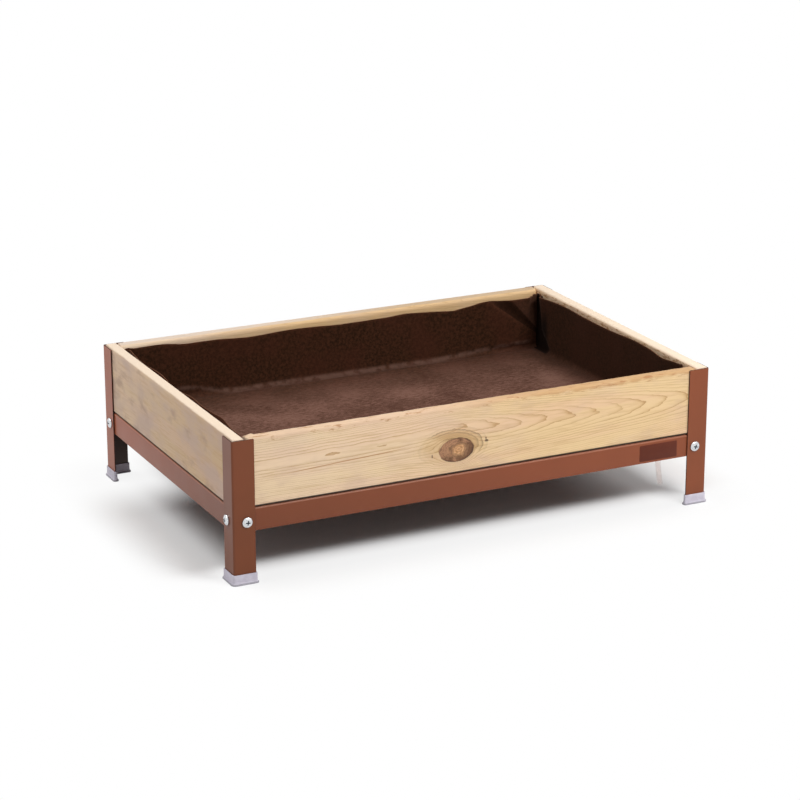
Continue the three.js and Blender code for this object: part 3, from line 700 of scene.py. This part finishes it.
def grown(outline, amount):
    """A counter-clockwise outline moved outwards, or inwards where amount is negative."""
    points = []
    for i, here in enumerate(outline):
        before = (here - outline[i - 1]).normalized()
        after = (outline[(i + 1) % len(outline)] - here).normalized()
        normal = Vector((before.y + after.y, -before.x - after.x))
        points.append(here + normal * (2 * amount / normal.length_squared))
    return points


def loft(rings, ends=True):
    """Joins rings of equal count, and closes the first and the last one."""
    count = len(rings[0])
    points = [point for ring in rings for point in ring]
    faces = []
    for base in range(0, count * (len(rings) - 1), count):
        for i in range(count):
            j = (i + 1) % count
            faces.append((base + i, base + j, base + count + j, base + count + i))
    if ends:
        faces.append(tuple(range(count - 1, -1, -1)))
        faces.append(tuple(range(len(points) - count, len(points))))
    return points, faces


def turned(x, y, quarter):
    for _ in range(quarter):
        x, y = -y, x
    return x, y


def on_side(side, points):
    """Points given in a side's own frame, in the row frame."""
    quarter, _, off = SIDES[side]
    return [(*turned(l, t - off, quarter), z) for l, t, z in points]


def in_corner(name, points):
    """Points given in a corner's own frame, flanges along +x and +y, in the row frame."""
    quarter, half, off = list(SIDES.values())[CORNERS.index(name)]
    return [(*turned(x - half, y - off, quarter), z) for x, y, z in points]


# Legs, foot caps and rails

LEG_FLANGE = 35
LEG_SHEET = 2
LEG_BEND = 1
LEG_EDGE = 0.5
LEG_NOSE = 1.2
LEG_FOOT = LEG_LOW.z / MM
CUT_EDGE = 0.35

CAP_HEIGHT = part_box("foot_cap_front_left")[1].z / MM
CAP_WALL = 1.9
# The cap's outside, from the floor up and in over the rim: height, and how far it stands out
CAP_PROFILE = (
    (0, 1.5), (0.25, 1.88), (0.6, 2), (2, 2), (2.4, 1.85), (2.8, 1.4), (3.5, 0.7), (4.6, 0.25), (6, 0.05),
    (7.4, 0), (CAP_HEIGHT - 0.9, 0), (CAP_HEIGHT - 0.35, -0.15), (CAP_HEIGHT, -0.6), (CAP_HEIGHT, -1.3),
    (CAP_HEIGHT - 0.4, -1.6), (CAP_HEIGHT - 8, -1.6),
)

RAIL_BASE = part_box("rail_front")[0].z / MM
RAIL_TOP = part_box("rail_front")[1].z / MM
RAIL_SHEET = 1.5
RAIL_BEND = 0.7
RAIL_REACH = 37.3
# Depth below the rail's top from which its painted highlight starts
RAIL_HIGHLIGHT = 2.8
MITRE_GAP = 1


def angle_outline(grow):
    end = LEG_FLANGE + grow
    inner = LEG_SHEET + grow
    edge = LEG_EDGE + grow
    return rounded([
        (-grow, -grow, LEG_BEND + LEG_SHEET + grow), (end, -grow, edge), (end, inner, edge),
        (inner, inner, LEG_BEND), (inner, end, edge), (-grow, end, edge),
    ], 5)


def leg_top(point):
    """The flanges' free corners are rounded at the top."""
    past = max(point.x, point.y) - LEG_FLANGE + LEG_NOSE
    if past <= 0:
        return HEIGHT
    return HEIGHT - LEG_NOSE + math.sqrt(LEG_NOSE ** 2 - min(past, LEG_NOSE) ** 2)


def leg_finish(middle):
    """1 for a sawn face of a leg, 2 for one that looks into its corner and takes the painted shade, else 0.
    """
    if max(middle.x, middle.y) > LEG_FLANGE - 0.6 * LEG_EDGE or middle.z > HEIGHT - 0.3 * CUT_EDGE:
        return 1
    return 2 if min(middle.x, middle.y) > LEG_SHEET - 0.1 else 0


def add_leg(name, finishes):
    outline = divided(angle_outline(0), 0.8)
    rings = [[(p.x, p.y, z) for p in outline] for z in np.linspace(LEG_FOOT, HEIGHT - 2 * LEG_NOSE, 6)]
    for share in (1, 0.3, 0):
        inset = grown(outline, -CUT_EDGE * (1 - share))
        rings.append([(q.x, q.y, leg_top(p) - CUT_EDGE * share) for p, q in zip(outline, inset)])
    points, faces = loft(rings)
    leg = add_piece("steel_leg_" + name, in_corner(name, points), faces, finishes, ["leg_" + name])
    choose_finishes(leg, points, faces, leg_finish)


def add_cap(name, finish):
    rings = [[(p.x, p.y, z) for p in angle_outline(CAP_WALL + out)] for z, out in CAP_PROFILE]
    points, faces = loft(rings)
    add_piece("foot_" + name, in_corner(name, points), faces, [finish], ["foot_cap_" + name])


def add_rail(side, finish):
    section = rounded([
        (BOARD_FACE, RAIL_BASE, CUT_EDGE),
        (BOARD_FACE + RAIL_SHEET, RAIL_BASE, CUT_EDGE),
        (BOARD_FACE + RAIL_SHEET, RAIL_TOP - RAIL_SHEET, RAIL_BEND),
        (RAIL_REACH, RAIL_TOP - RAIL_SHEET, CUT_EDGE),
        (RAIL_REACH, RAIL_TOP, CUT_EDGE),
        (BOARD_FACE, RAIL_TOP, RAIL_BEND + RAIL_SHEET),
    ], 6)
    half = SIDES[side][1]
    shares = np.linspace(-1, 1, 9)
    rings = [[(share * (half - MITRE_GAP - t), t, z) for t, z in section] for share in shares]
    points, faces = loft(rings)
    add_piece("steel_rail_" + side, on_side(side, points), faces, [finish], ["rail_" + side])


# Boards

BOARD_ROUND = 4
OUTER_ROUND = {"front": 4, "right": 0.8, "rear": 4, "left": 4}
INNER_ROUND = {"front": 4, "right": 4, "rear": 8, "left": 0.8}
END_ROUND = {"front": 3, "right": 0.7, "rear": 3, "left": 0.7}
BOARD_STEP = 4
TORN_ARRIS = {"front": 0.7, "right": 0.15, "rear": 0.15, "left": 0.15}
# Marks in the front board's top arris: place, half width, lift, and how square they are
FRONT_CHIP = (-380, 5, -1.8, 4)
FRONT_NOTCH = (-121, 1.8, -1.8, 2)
FRONT_SPLINTER = (-363.5, 3.5, 1.9, 4)


def mark_lift(l, mark):
    place, width, lift, square = mark
    return lift * math.exp(-((l - place) / width) ** square)


def arris_lift(side, l, t, z):
    """How far torn grain, a chip, a notch and a splinter lift or lower a board's top."""
    lift = -TORN_ARRIS[side] * max(0, noise.noise((l / 9, t / 5, BOARD_TOP)) + 0.1)
    if side == "front":
        lift += mark_lift(l, FRONT_CHIP)
        if t > BOARD_FACE + BOARD_THICK / 2:
            lift += mark_lift(l, FRONT_NOTCH) + mark_lift(l, FRONT_SPLINTER)
    return lift * step(BOARD_TOP - BOARD_ROUND, BOARD_TOP, z)


def add_board(side, finish):
    axis = 0 if side in LONG_SIDES else 1
    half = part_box("board_" + side)[1][axis] / MM
    section = divided(rounded([
        (BOARD_FACE, BOARD_BASE, BOARD_ROUND),
        (BOARD_FACE + BOARD_THICK, BOARD_BASE, BOARD_ROUND),
        (BOARD_FACE + BOARD_THICK, BOARD_TOP, INNER_ROUND[side]),
        (BOARD_FACE, BOARD_TOP, OUTER_ROUND[side]),
    ], 8), 3.5)
    end_round = END_ROUND[side]
    straight = half - end_round
    rows = [(l, 0) for l in np.linspace(-straight, straight, 2 * math.ceil(straight / BOARD_STEP) + 1)]
    for a in np.linspace(0, math.pi / 2, 6)[1:]:
        row = (straight + end_round * math.sin(a), end_round * (1 - math.cos(a)))
        rows = [(-row[0], row[1]), *rows, row]
    rings = []
    for l, inset in rows:
        ring = grown(section, -inset) if inset else section
        rings.append([(l, t, z + arris_lift(side, l, t, z)) for t, z in ring])
    points, faces = loft(rings)
    add_piece("pine_board_" + side, on_side(side, points), faces, [finish], ["board_" + side])


# Bolts

BOLT_RADIUS = 4
BOLT_INSET = 22
BOLT_Z = 95.2
BOLT_PITCH = 1.25
BOLT_THREAD = 0.55
BOLT_END = 15.4
BOLT_SIDES = 40
HEAD_RADIUS = 8
HEAD_SEAT = -0.3
HEAD_HEIGHT = 4.2
HEAD_EDGE = 1.2
CROWN_FOOT = HEAD_SEAT - HEAD_EDGE
CROWN_RISE = HEAD_HEIGHT - HEAD_EDGE
RECESS_WIDTH = 2
RECESS_SPAN = 9
RECESS_FLOOR = 4
RECESS_DEPTH = 2.4
RECESS_TAPER = 0.6


def circle(sides):
    return [2 * math.pi * i / sides for i in range(sides)]


def bolt_profile():
    """Radius and depth, from the top of the head to the bolt's end."""
    angles = np.linspace(0.03, math.pi / 2, 14)
    crown = [(HEAD_RADIUS * math.sin(a), CROWN_FOOT - CROWN_RISE * math.cos(a)) for a in angles]
    seat = [(HEAD_RADIUS, HEAD_SEAT - 0.3), (HEAD_RADIUS - 0.3, HEAD_SEAT), (BOLT_RADIUS, HEAD_SEAT)]
    thread = []
    for c in np.arange(3, BOLT_END - BOLT_PITCH, BOLT_PITCH):
        thread += [(BOLT_RADIUS, c), (BOLT_RADIUS - BOLT_THREAD, c + BOLT_PITCH / 2)]
    end = [(BOLT_RADIUS, BOLT_END - 1), (BOLT_RADIUS - 0.9, BOLT_END)]
    return crown + seat + thread + end


def recess_blade(quarter):
    """One bar of the cross that is cut into the head, narrower at its floor."""
    top = HEAD_SEAT - HEAD_HEIGHT
    mouth = (top - 1, RECESS_SPAN, RECESS_WIDTH)
    floor = (top + RECESS_DEPTH, RECESS_FLOOR, RECESS_WIDTH - RECESS_TAPER)
    rings = []
    for c, span, width in (mouth, floor):
        rings.append([(*turned(a * span / 2, b * width / 2, quarter), c) for a, b in SQUARE])
    return plain_object("recess", *loft(rings))


def bolt_shape():
    """The bolt's points and faces about its axis, with the cross recess cut in."""
    spokes = [(math.cos(a), math.sin(a)) for a in circle(BOLT_SIDES)]
    body = plain_object("bolt", *loft([[(r * c, r * s, z) for c, s in spokes] for r, z in bolt_profile()]))
    blades = [recess_blade(quarter) for quarter in (0, 1)]
    for blade in blades:
        cut = body.modifiers.new("recess", "BOOLEAN")
        cut.object = blade
        cut.solver = "EXACT"
    apply_modifiers(body)
    points = [tuple(v.co) for v in body.data.vertices]
    faces = [tuple(p.vertices) for p in body.data.polygons]
    for obj in [body, *blades]:
        bpy.data.objects.remove(obj)
    return points, faces


def in_recess(middle):
    """Whether a face of the bolt lies under the crown of its head."""
    off = math.hypot(middle.x, middle.y)
    if off > RECESS_SPAN / 2 or middle.z > HEAD_SEAT:
        return False
    crown = CROWN_FOOT - CROWN_RISE * math.sqrt(1 - (off / HEAD_RADIUS) ** 2)
    return middle.z > crown + 0.15


def add_bolts(finishes):
    """Eight bolts, each turned by an angle of its own."""
    points, faces = bolt_shape()
    names = list(SIDES)
    for number, side in enumerate(names):
        half = SIDES[side][1] - BOLT_INSET
        for sign in (-1, 1):
            end = names[(number + sign) % 4]
            turn = 0.6 + 1.1 * number + 0.7 * sign
            c, s = math.cos(turn), math.sin(turn)
            placed = [(sign * half + a * c - b * s, depth, BOLT_Z + a * s + b * c) for a, b, depth in points]
            placed = on_side(side, placed)
            name = f"{side}_{end}"
            bolt = add_piece("zinc_bolt_" + name, placed, faces, finishes, ["bolt_" + name], 32)
            # Faces in the cross recess take the painted recess shade
            choose_finishes(bolt, points, faces, in_recess)


# Liner: a felt sheet whose walls stand loosely against the boards

LINER_HALF = (377.4, 242.4)
LINER_THICK = 1.5
LINER_FLOOR = 118.55
LINER_CREASE = 8.75
LINER_CORNER = 14
LINER_FOOT = LINER_FLOOR + LINER_CREASE
# The rim at even steps along each side: its drop below the legs' tops, and its lean off the board
LINER_RIMS = {
    "front": ([6, 9, 12, 8, 11, 13, 9, 7, 10, 12, 8, 9, 10], [2, 5, 2, 6, 3, 5, 2, 6, 2, 5, 3, 5, 6]),
    "right": ([1, 3, 6, 3, 2, 2, 3, 5, 6, 6, 5, 5, 4, 3, 3, 4, 5], [2, 3, 2, 1, 1, 2, 1, 2, 2]),
    "rear": (
        [8, 9, 9, 6, 11, 15, 13, 11, 10, 12, 12, 12, 12, 11, 10, 10, 11, 12, 11, 9, 9, 9, 5, 4, 4],
        [2, 3, 5, 3, 1, 2, 3, 1, 2, 3, 2, 1, 2],
    ),
    "left": ([3, 4, 5, 3, 2, 4, 6, 4, 4, 5, 4, 5, 5], [6, 3, 1, 4, 4, 1, 4, 7, 5, 8, 9, 4, 2]),
}
LINER_CREASES = (-165, 5, 213)
RIGHT_CREASES = (-5,)
CORNER_STAND = {"front": (4, 5), "right": (4, 0), "rear": (8, 4), "left": (2, 3)}
FOOT_STAND = 4
PLEAT_STANDS = (6, 4.5)
POCKET_STAND = 10
POCKET_FLAT = 6
POCKET_TURN = math.radians(37)


def spline(values, along):
    """A smooth curve through evenly spaced values, at along from 0 to 1."""
    place = along * (len(values) - 1)
    i = min(int(place), len(values) - 2)
    w = place - i
    start, end = values[i], values[i + 1]
    pull_in = (end - values[max(i - 1, 0)]) / 2
    pull_out = (values[min(i + 2, len(values) - 1)] - start) / 2
    a = 2 * (start - end) + pull_in + pull_out
    b = 3 * (end - start) - 2 * pull_in - pull_out
    return ((a * w + b) * w + pull_in) * w + start


def wall_places(half):
    """Places along a wall, closer together near the corners."""
    near = np.array([0, 1.5, 3, 5, 7.5, 10.5, 14, 18, 23, 29, 36])
    inner = half - near[-1]
    middle = np.linspace(-inner, inner, 2 * int(inner / 6) + 1)
    return np.concatenate([near - half, middle[1:-1], half - near[::-1]])


def creases(place, folds, stand, width):
    """What sharp folds stand out at a place along the sheet."""
    return sum(stand * math.exp(-abs(place - fold) / width) for fold in folds)


def corner_pleat(from_corner, z):
    """How far the flap beside the rear right corner stands off the board."""
    below, above = PLEAT_STANDS
    over_first = step(-1.2, 1.2, over_fold(PLEAT_FIRST, from_corner, z))
    over_second = step(-16, 1, over_fold(PLEAT_SECOND, from_corner, z))
    return below * (1 - over_first) * step(150, 60, from_corner) + above * over_first * over_second


def corner_pocket(from_end, z):
    """The deep fold at the right wall's rear end: past it the wall stands off the board."""
    edge = 14 + 24 * step(165, 127, z)
    return POCKET_STAND * step(edge - 3, edge + 2, from_end) * math.exp(-max(0, from_end - edge) / 70)


def wall_wave(side, l, z):
    broad = noise.noise((l / 75, SIDES[side][0] * 7.3, z / 120))
    fine = noise.noise((l / 28, z / 60, 9.1))
    return (broad + 0.5 * fine + 0.6) * 1.5


def wall_inset(side, l, half, share, z):
    """How far the sheet's middle stands in from the wall's plane, at a share of the height."""
    _, lean = LINER_RIMS[side]
    inset = LINER_THICK / 2 + max(0, spline(lean, (l + half) / (2 * half))) * share ** 2
    inset += wall_wave(side, l, z) * share
    for end, stand in zip((l + half, half - l), CORNER_STAND[side]):
        inset += stand * (1 - math.exp(-end / 4)) * math.exp(-end / 55) * (0.35 + 0.65 * share)
    if side == "right":
        inset += corner_pocket(half - l, z) * (0.45 + 0.55 * share)
        inset += creases(l, RIGHT_CREASES, 1.2, 3) * share
    if side == "rear":
        x = -l
        inset += creases(x, LINER_CREASES, 1.6, 3.5) * share
        if half - x < 130:
            inset += corner_pleat(half + LINER_CORNER - x, z) * step(0, 10, half - x)
        inset = max(inset, (LINER_CORNER - POCKET_FLAT) * math.exp((x - half) / 60))
    return max(inset, LINER_THICK / 2)


def fan_inset(side, fan):
    """How far the sheet stands in from a corner's arc. The rear wall runs on at the rear right."""
    if side == "right" and fan > POCKET_TURN:
        return LINER_CORNER - POCKET_FLAT / math.sin(fan)
    return LINER_THICK / 2


def wall_column(side, l, half, fan=0):
    """Points up the crease and the wall. fan is the angle round a corner."""
    drop, _ = LINER_RIMS[side]
    top = HEIGHT - spline(drop, (l + half) / (2 * half))

    def inset(share, z):
        return fan_inset(side, fan) if fan else wall_inset(side, l, half, share, z)

    foot = min(FOOT_STAND, inset(0, LINER_FOOT))
    levels = [(LINER_CORNER - 0.5, LINER_FLOOR)]
    for angle in np.linspace(0, math.pi / 2, 6)[1:]:
        levels.append((
            foot + LINER_CREASE * (1 - math.sin(angle)),
            LINER_FLOOR + LINER_CREASE * (1 - math.cos(angle)),
        ))
    for share in np.linspace(0, 1, 24)[1:]:
        z = LINER_FOOT + (top - LINER_FOOT) * share
        levels.append((inset(share, z), z))
    quarter = SIDES[side][0]
    off = LINER_HALF[1 - quarter % 2]
    column = []
    for stand, z in levels:
        reach = LINER_CORNER - stand
        x = l + reach * math.sin(fan)
        y = LINER_CORNER - off - reach * math.cos(fan)
        column.append((*turned(x, y, quarter), z))
    return column


def floor_height(x, y, halves):
    edge = min(halves[0] - abs(x), halves[1] - abs(y))
    swell = 1.4 * (noise.noise((x / 120, y / 90, 1.3)) + 0.5 * noise.noise((x / 45, y / 45, 4.2)) + 0.6)
    folds = creases(x, LINER_CREASES, 0.9, 4)
    climb = 4 * step(185, 235, y)
    return LINER_FLOOR + max(0, swell + folds) * step(0, 30, edge) + climb * step(0, 8, edge)


def liner_floor(xs, ys, halves):
    """The floor's points and faces, and the numbers of its border's points, counter-clockwise."""
    points = [(x, y, floor_height(x, y, halves)) for x in xs for y in ys]
    index = np.arange(len(points)).reshape(len(xs), len(ys))
    corners = index[:-1, :-1], index[1:, :-1], index[1:, 1:], index[:-1, 1:]
    faces = np.stack(corners, axis=-1).reshape(-1, 4).tolist()
    border = {"front": index[:, 0], "right": index[-1], "rear": index[::-1, -1], "left": index[0, ::-1]}
    return points, faces, {side: row.tolist() for side, row in border.items()}


def liner_mesh():
    halves = [half - LINER_CORNER for half in LINER_HALF]
    xs, ys = (wall_places(half) for half in halves)
    points, faces, border = liner_floor(xs, ys, halves)
    columns = []
    for side, feet in border.items():
        places, half = (xs, halves[0]) if side in LONG_SIDES else (ys, halves[1])
        columns += [(foot, wall_column(side, l, half)) for foot, l in zip(feet, places)]
        for angle in np.linspace(0, math.pi / 2, 11)[1:-1]:
            columns.append((feet[-1], wall_column(side, half, half, angle)))
    strips = []
    for foot, column in columns:
        strips.append([foot] + list(range(len(points), len(points) + len(column))))
        points += column
    for one, two in zip(strips, strips[1:] + strips[:1]):
        for k in range(len(one) - 1):
            face = (one[k], two[k], two[k + 1], one[k + 1])
            faces.append(tuple(dict.fromkeys(face)))
    return points, faces


def add_liner(finishes):
    points, faces = liner_mesh()
    liner = add_piece("felt_liner", points, faces, finishes, ["liner"], 80)
    shell = liner.modifiers.new("thickness", "SOLIDIFY")
    shell.material_offset_rim = 1
    shell.thickness = LINER_THICK * MM
    shell.offset = 0
    apply_modifiers(liner)


# Drain hose

HOSE_TOP = Vector((344.7, -209.7, 105.2))
# How far the hose has swayed to the right at each step down, and how far down it ends
HOSE_SWAY = (0, 0, 0, 0, 0, 0.2, 0.5, 1, 1.6, 2.3, 3.1, 4, 5, 6, 7, 7.4)
HOSE_STEP = 6
HOSE_DROP = 86.5
HOSE_OUTER = 4.5
HOSE_INNER = 3.2
HOSE_SIDES = 28


def add_hose(finish):
    """A tube: rings down the outside and up the inside."""
    steps = enumerate(HOSE_SWAY)
    route = [HOSE_TOP + Vector((sway, 0, -min(i * HOSE_STEP, HOSE_DROP))) for i, sway in steps]
    last = len(route) - 1
    sideways = Vector((0, 1, 0))
    rings = []
    for radius, order in ((HOSE_OUTER, range(last + 1)), (HOSE_INNER, range(last, -1, -1))):
        for i in order:
            along = (route[min(i + 1, last)] - route[max(i - 1, 0)]).normalized()
            out = along.cross(sideways)
            spokes = [out * math.cos(a) + sideways * math.sin(a) for a in circle(HOSE_SIDES)]
            rings.append([route[i] + spoke * radius for spoke in spokes])
    points, faces = loft(rings + rings[:1], ends=False)
    used = len(points) - HOSE_SIDES
    faces = [tuple(v % used for v in face) for face in faces]
    hose = add_piece("hose", points[:used], faces, [finish], ["drain_hose"])


# Label: a blank sticker on the front rail

LABEL_X = (280, 347)
LABEL_Z = (83, 109)
LABEL_THICK = 0.3
LABEL_ROUND = 1.5
LABEL_EDGE = 0.15


def add_label(finish):
    outline = rounded([(LABEL_X[a > 0], LABEL_Z[b > 0], LABEL_ROUND) for a, b in SQUARE], 5)
    inner = grown(outline, -LABEL_EDGE)
    face = BOARD_FACE - LABEL_THICK
    levels = ((outline, BOARD_FACE), (outline, face + 0.1), (inner, face))
    rings = [[(p.x, t, p.y) for p in ring] for ring, t in levels]
    points, faces = loft(rings)
    add_piece("label_blank", on_side("front", points), faces, [finish])


# Stage: floor, light and surroundings

FLOOR_COLOUR = 0.96
FLOOR_SEEN = 0.99
FLOOR_FADE = (120, 10)
FLOOR_REACH = 9

# Where the shadow is thinned, behind the left end and ahead of the planter, and how far
THIN_LEFT_X = (-250, -350)
THIN_LEFT_Y = (60, 220)
THIN_LEFT = 0.88
THIN_AHEAD_Y = (-175, -240)
THIN_AHEAD = 0.75

SKY_LEVEL = 0.24
LAMP_AIM = Vector((0, 0, 0.15))
# Soft boxes: level, direction, distance, and the angles that they span across and up
LAMPS = {
    "key": (0.58, (0.3, -0.71, 0.64), 2.1, (26, 13)),
    "fill": (0.5, (-0.52, 0.2, 0.83), 2.4, (42, 30)),
    "side": (0.25, (0.86, 0.02, 0.5), 2.2, (40, 24)),
}


def background_rays(tree):
    """1 for rays that show the surroundings: direct, mirrored or through glass."""
    path = tree.nodes.new("ShaderNodeLightPath")
    seen = Field(tree, path.outputs["Is Camera Ray"])
    for name in ("Is Glossy Ray", "Is Transmission Ray"):
        seen = seen.math("MAXIMUM", path.outputs[name])
    return seen


def add_floor():
    """A white floor that keeps the shadow near the planter and is plain white beyond."""
    looks = Looks("white_floor")
    x, y, _ = looks.axes()
    past_x = (x.math("ABSOLUTE") - HALF_LENGTH).math("MAXIMUM", 0)
    past_y = (y.math("ABSOLUTE") - HALF_DEPTH).math("MAXIMUM", 0)
    near = ((past_x ** 2 + past_y ** 2) ** 0.5).between(*FLOOR_FADE)
    left = x.between(*THIN_LEFT_X) * y.between(*THIN_LEFT_Y) * THIN_LEFT
    ahead = y.between(*THIN_AHEAD_Y) * THIN_AHEAD
    away = -near * (-left + 1) * (-ahead + 1) + 1
    tree = looks.tree
    seen = background_rays(tree)
    white = seen * (FLOOR_SEEN - FLOOR_COLOUR) + FLOOR_COLOUR
    diffuse = looks.node("ShaderNodeBsdfDiffuse", Color=white)
    glow = looks.node("ShaderNodeEmission")
    blend = looks.node("ShaderNodeMixShader")
    for socket, value in zip(blend.inputs, (away * seen, diffuse.outputs[0], glow.outputs[0])):
        feed(tree, socket, value)
    feed_node(tree, tree.nodes["Material Output"], Surface=blend.outputs[0])
    corners = [(a * FLOOR_REACH, b * FLOOR_REACH, 0) for a, b in SQUARE]
    floor = plain_object("floor", corners, [(0, 1, 2, 3)])
    floor.data.materials.append(looks.material)


def add_lamp(name, level, toward, distance, spread):
    """A soft box that gives a white surface facing it about that level."""
    toward = Vector(toward)
    data = bpy.data.lights.new(name, "AREA")
    data.shape = "RECTANGLE"
    data.size, data.size_y = (2 * distance * math.tan(math.radians(angle) / 2) for angle in spread)
    data.energy = level * (math.pi * distance) ** 2
    lamp = add_object(name, data)
    lamp.location = LAMP_AIM + toward.normalized() * distance
    lamp.rotation_euler = toward.to_track_quat("Z", "Y").to_euler()


def add_light():
    for name, lamp in LAMPS.items():
        add_lamp(name, *lamp)
    world = bpy.data.worlds.new("studio")
    bpy.context.scene.world = world
    world.use_nodes = True
    tree = world.node_tree
    strength = background_rays(tree) * (1 - SKY_LEVEL) + SKY_LEVEL
    feed_node(tree, tree.nodes["Background"], Color=(1, 1, 1), Strength=strength)
    bpy.context.scene.view_settings.view_transform = "Standard"


# Assembly

def dress_nodes(bright, brown):
    """Finishes for the CAD nodes that stay as they are."""
    finishes = {
        ("washer", "nut", "wood_screw"): bright,
        # The tray and bars take the darker copy of the paint: painted shade under the box
        ("drain_tray", "support_bar"): brown,
        ("drain_spigot", "drain_nut"): black_plastic(),
        ("drain_seal",): rubber(),
    }
    for name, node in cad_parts.items():
        for starts, finish in finishes.items():
            if name.startswith(starts):
                for slot in node.material_slots:
                    slot.material = finish


def main():
    add_camera()
    add_hose(clear_hose())
    add_liner([felt(), felt_edge()])
    leg_paint = paint("leg_paint", PAINT_LEG, PAINT_LIT, scuffed=0.5)
    rail_paint = paint("rail_paint", PAINT_RAIL, PAINT_LIT, highlight_from=RAIL_TOP - RAIL_HIGHLIGHT)
    shaded_paint = paint("shaded_paint", PAINT_SHADED, PAINT_SHADED_LIT)
    bright = zinc()
    cut = cut_edge()
    caps = cap_plastic()
    for name in CORNERS:
        # A leg's inner faces take the darker copy of the paint: painted shade
        add_leg(name, [leg_paint, cut, shaded_paint])
        add_cap(name, caps)
    for side in SIDES:
        add_rail(side, rail_paint)
        add_board(side, pine(side, **PINE[side]))
    dress_nodes(bright, shaded_paint)
    add_bolts([bright, recess_shade_zinc()])
    add_label(sticker())
    add_floor()
    add_light()


main()
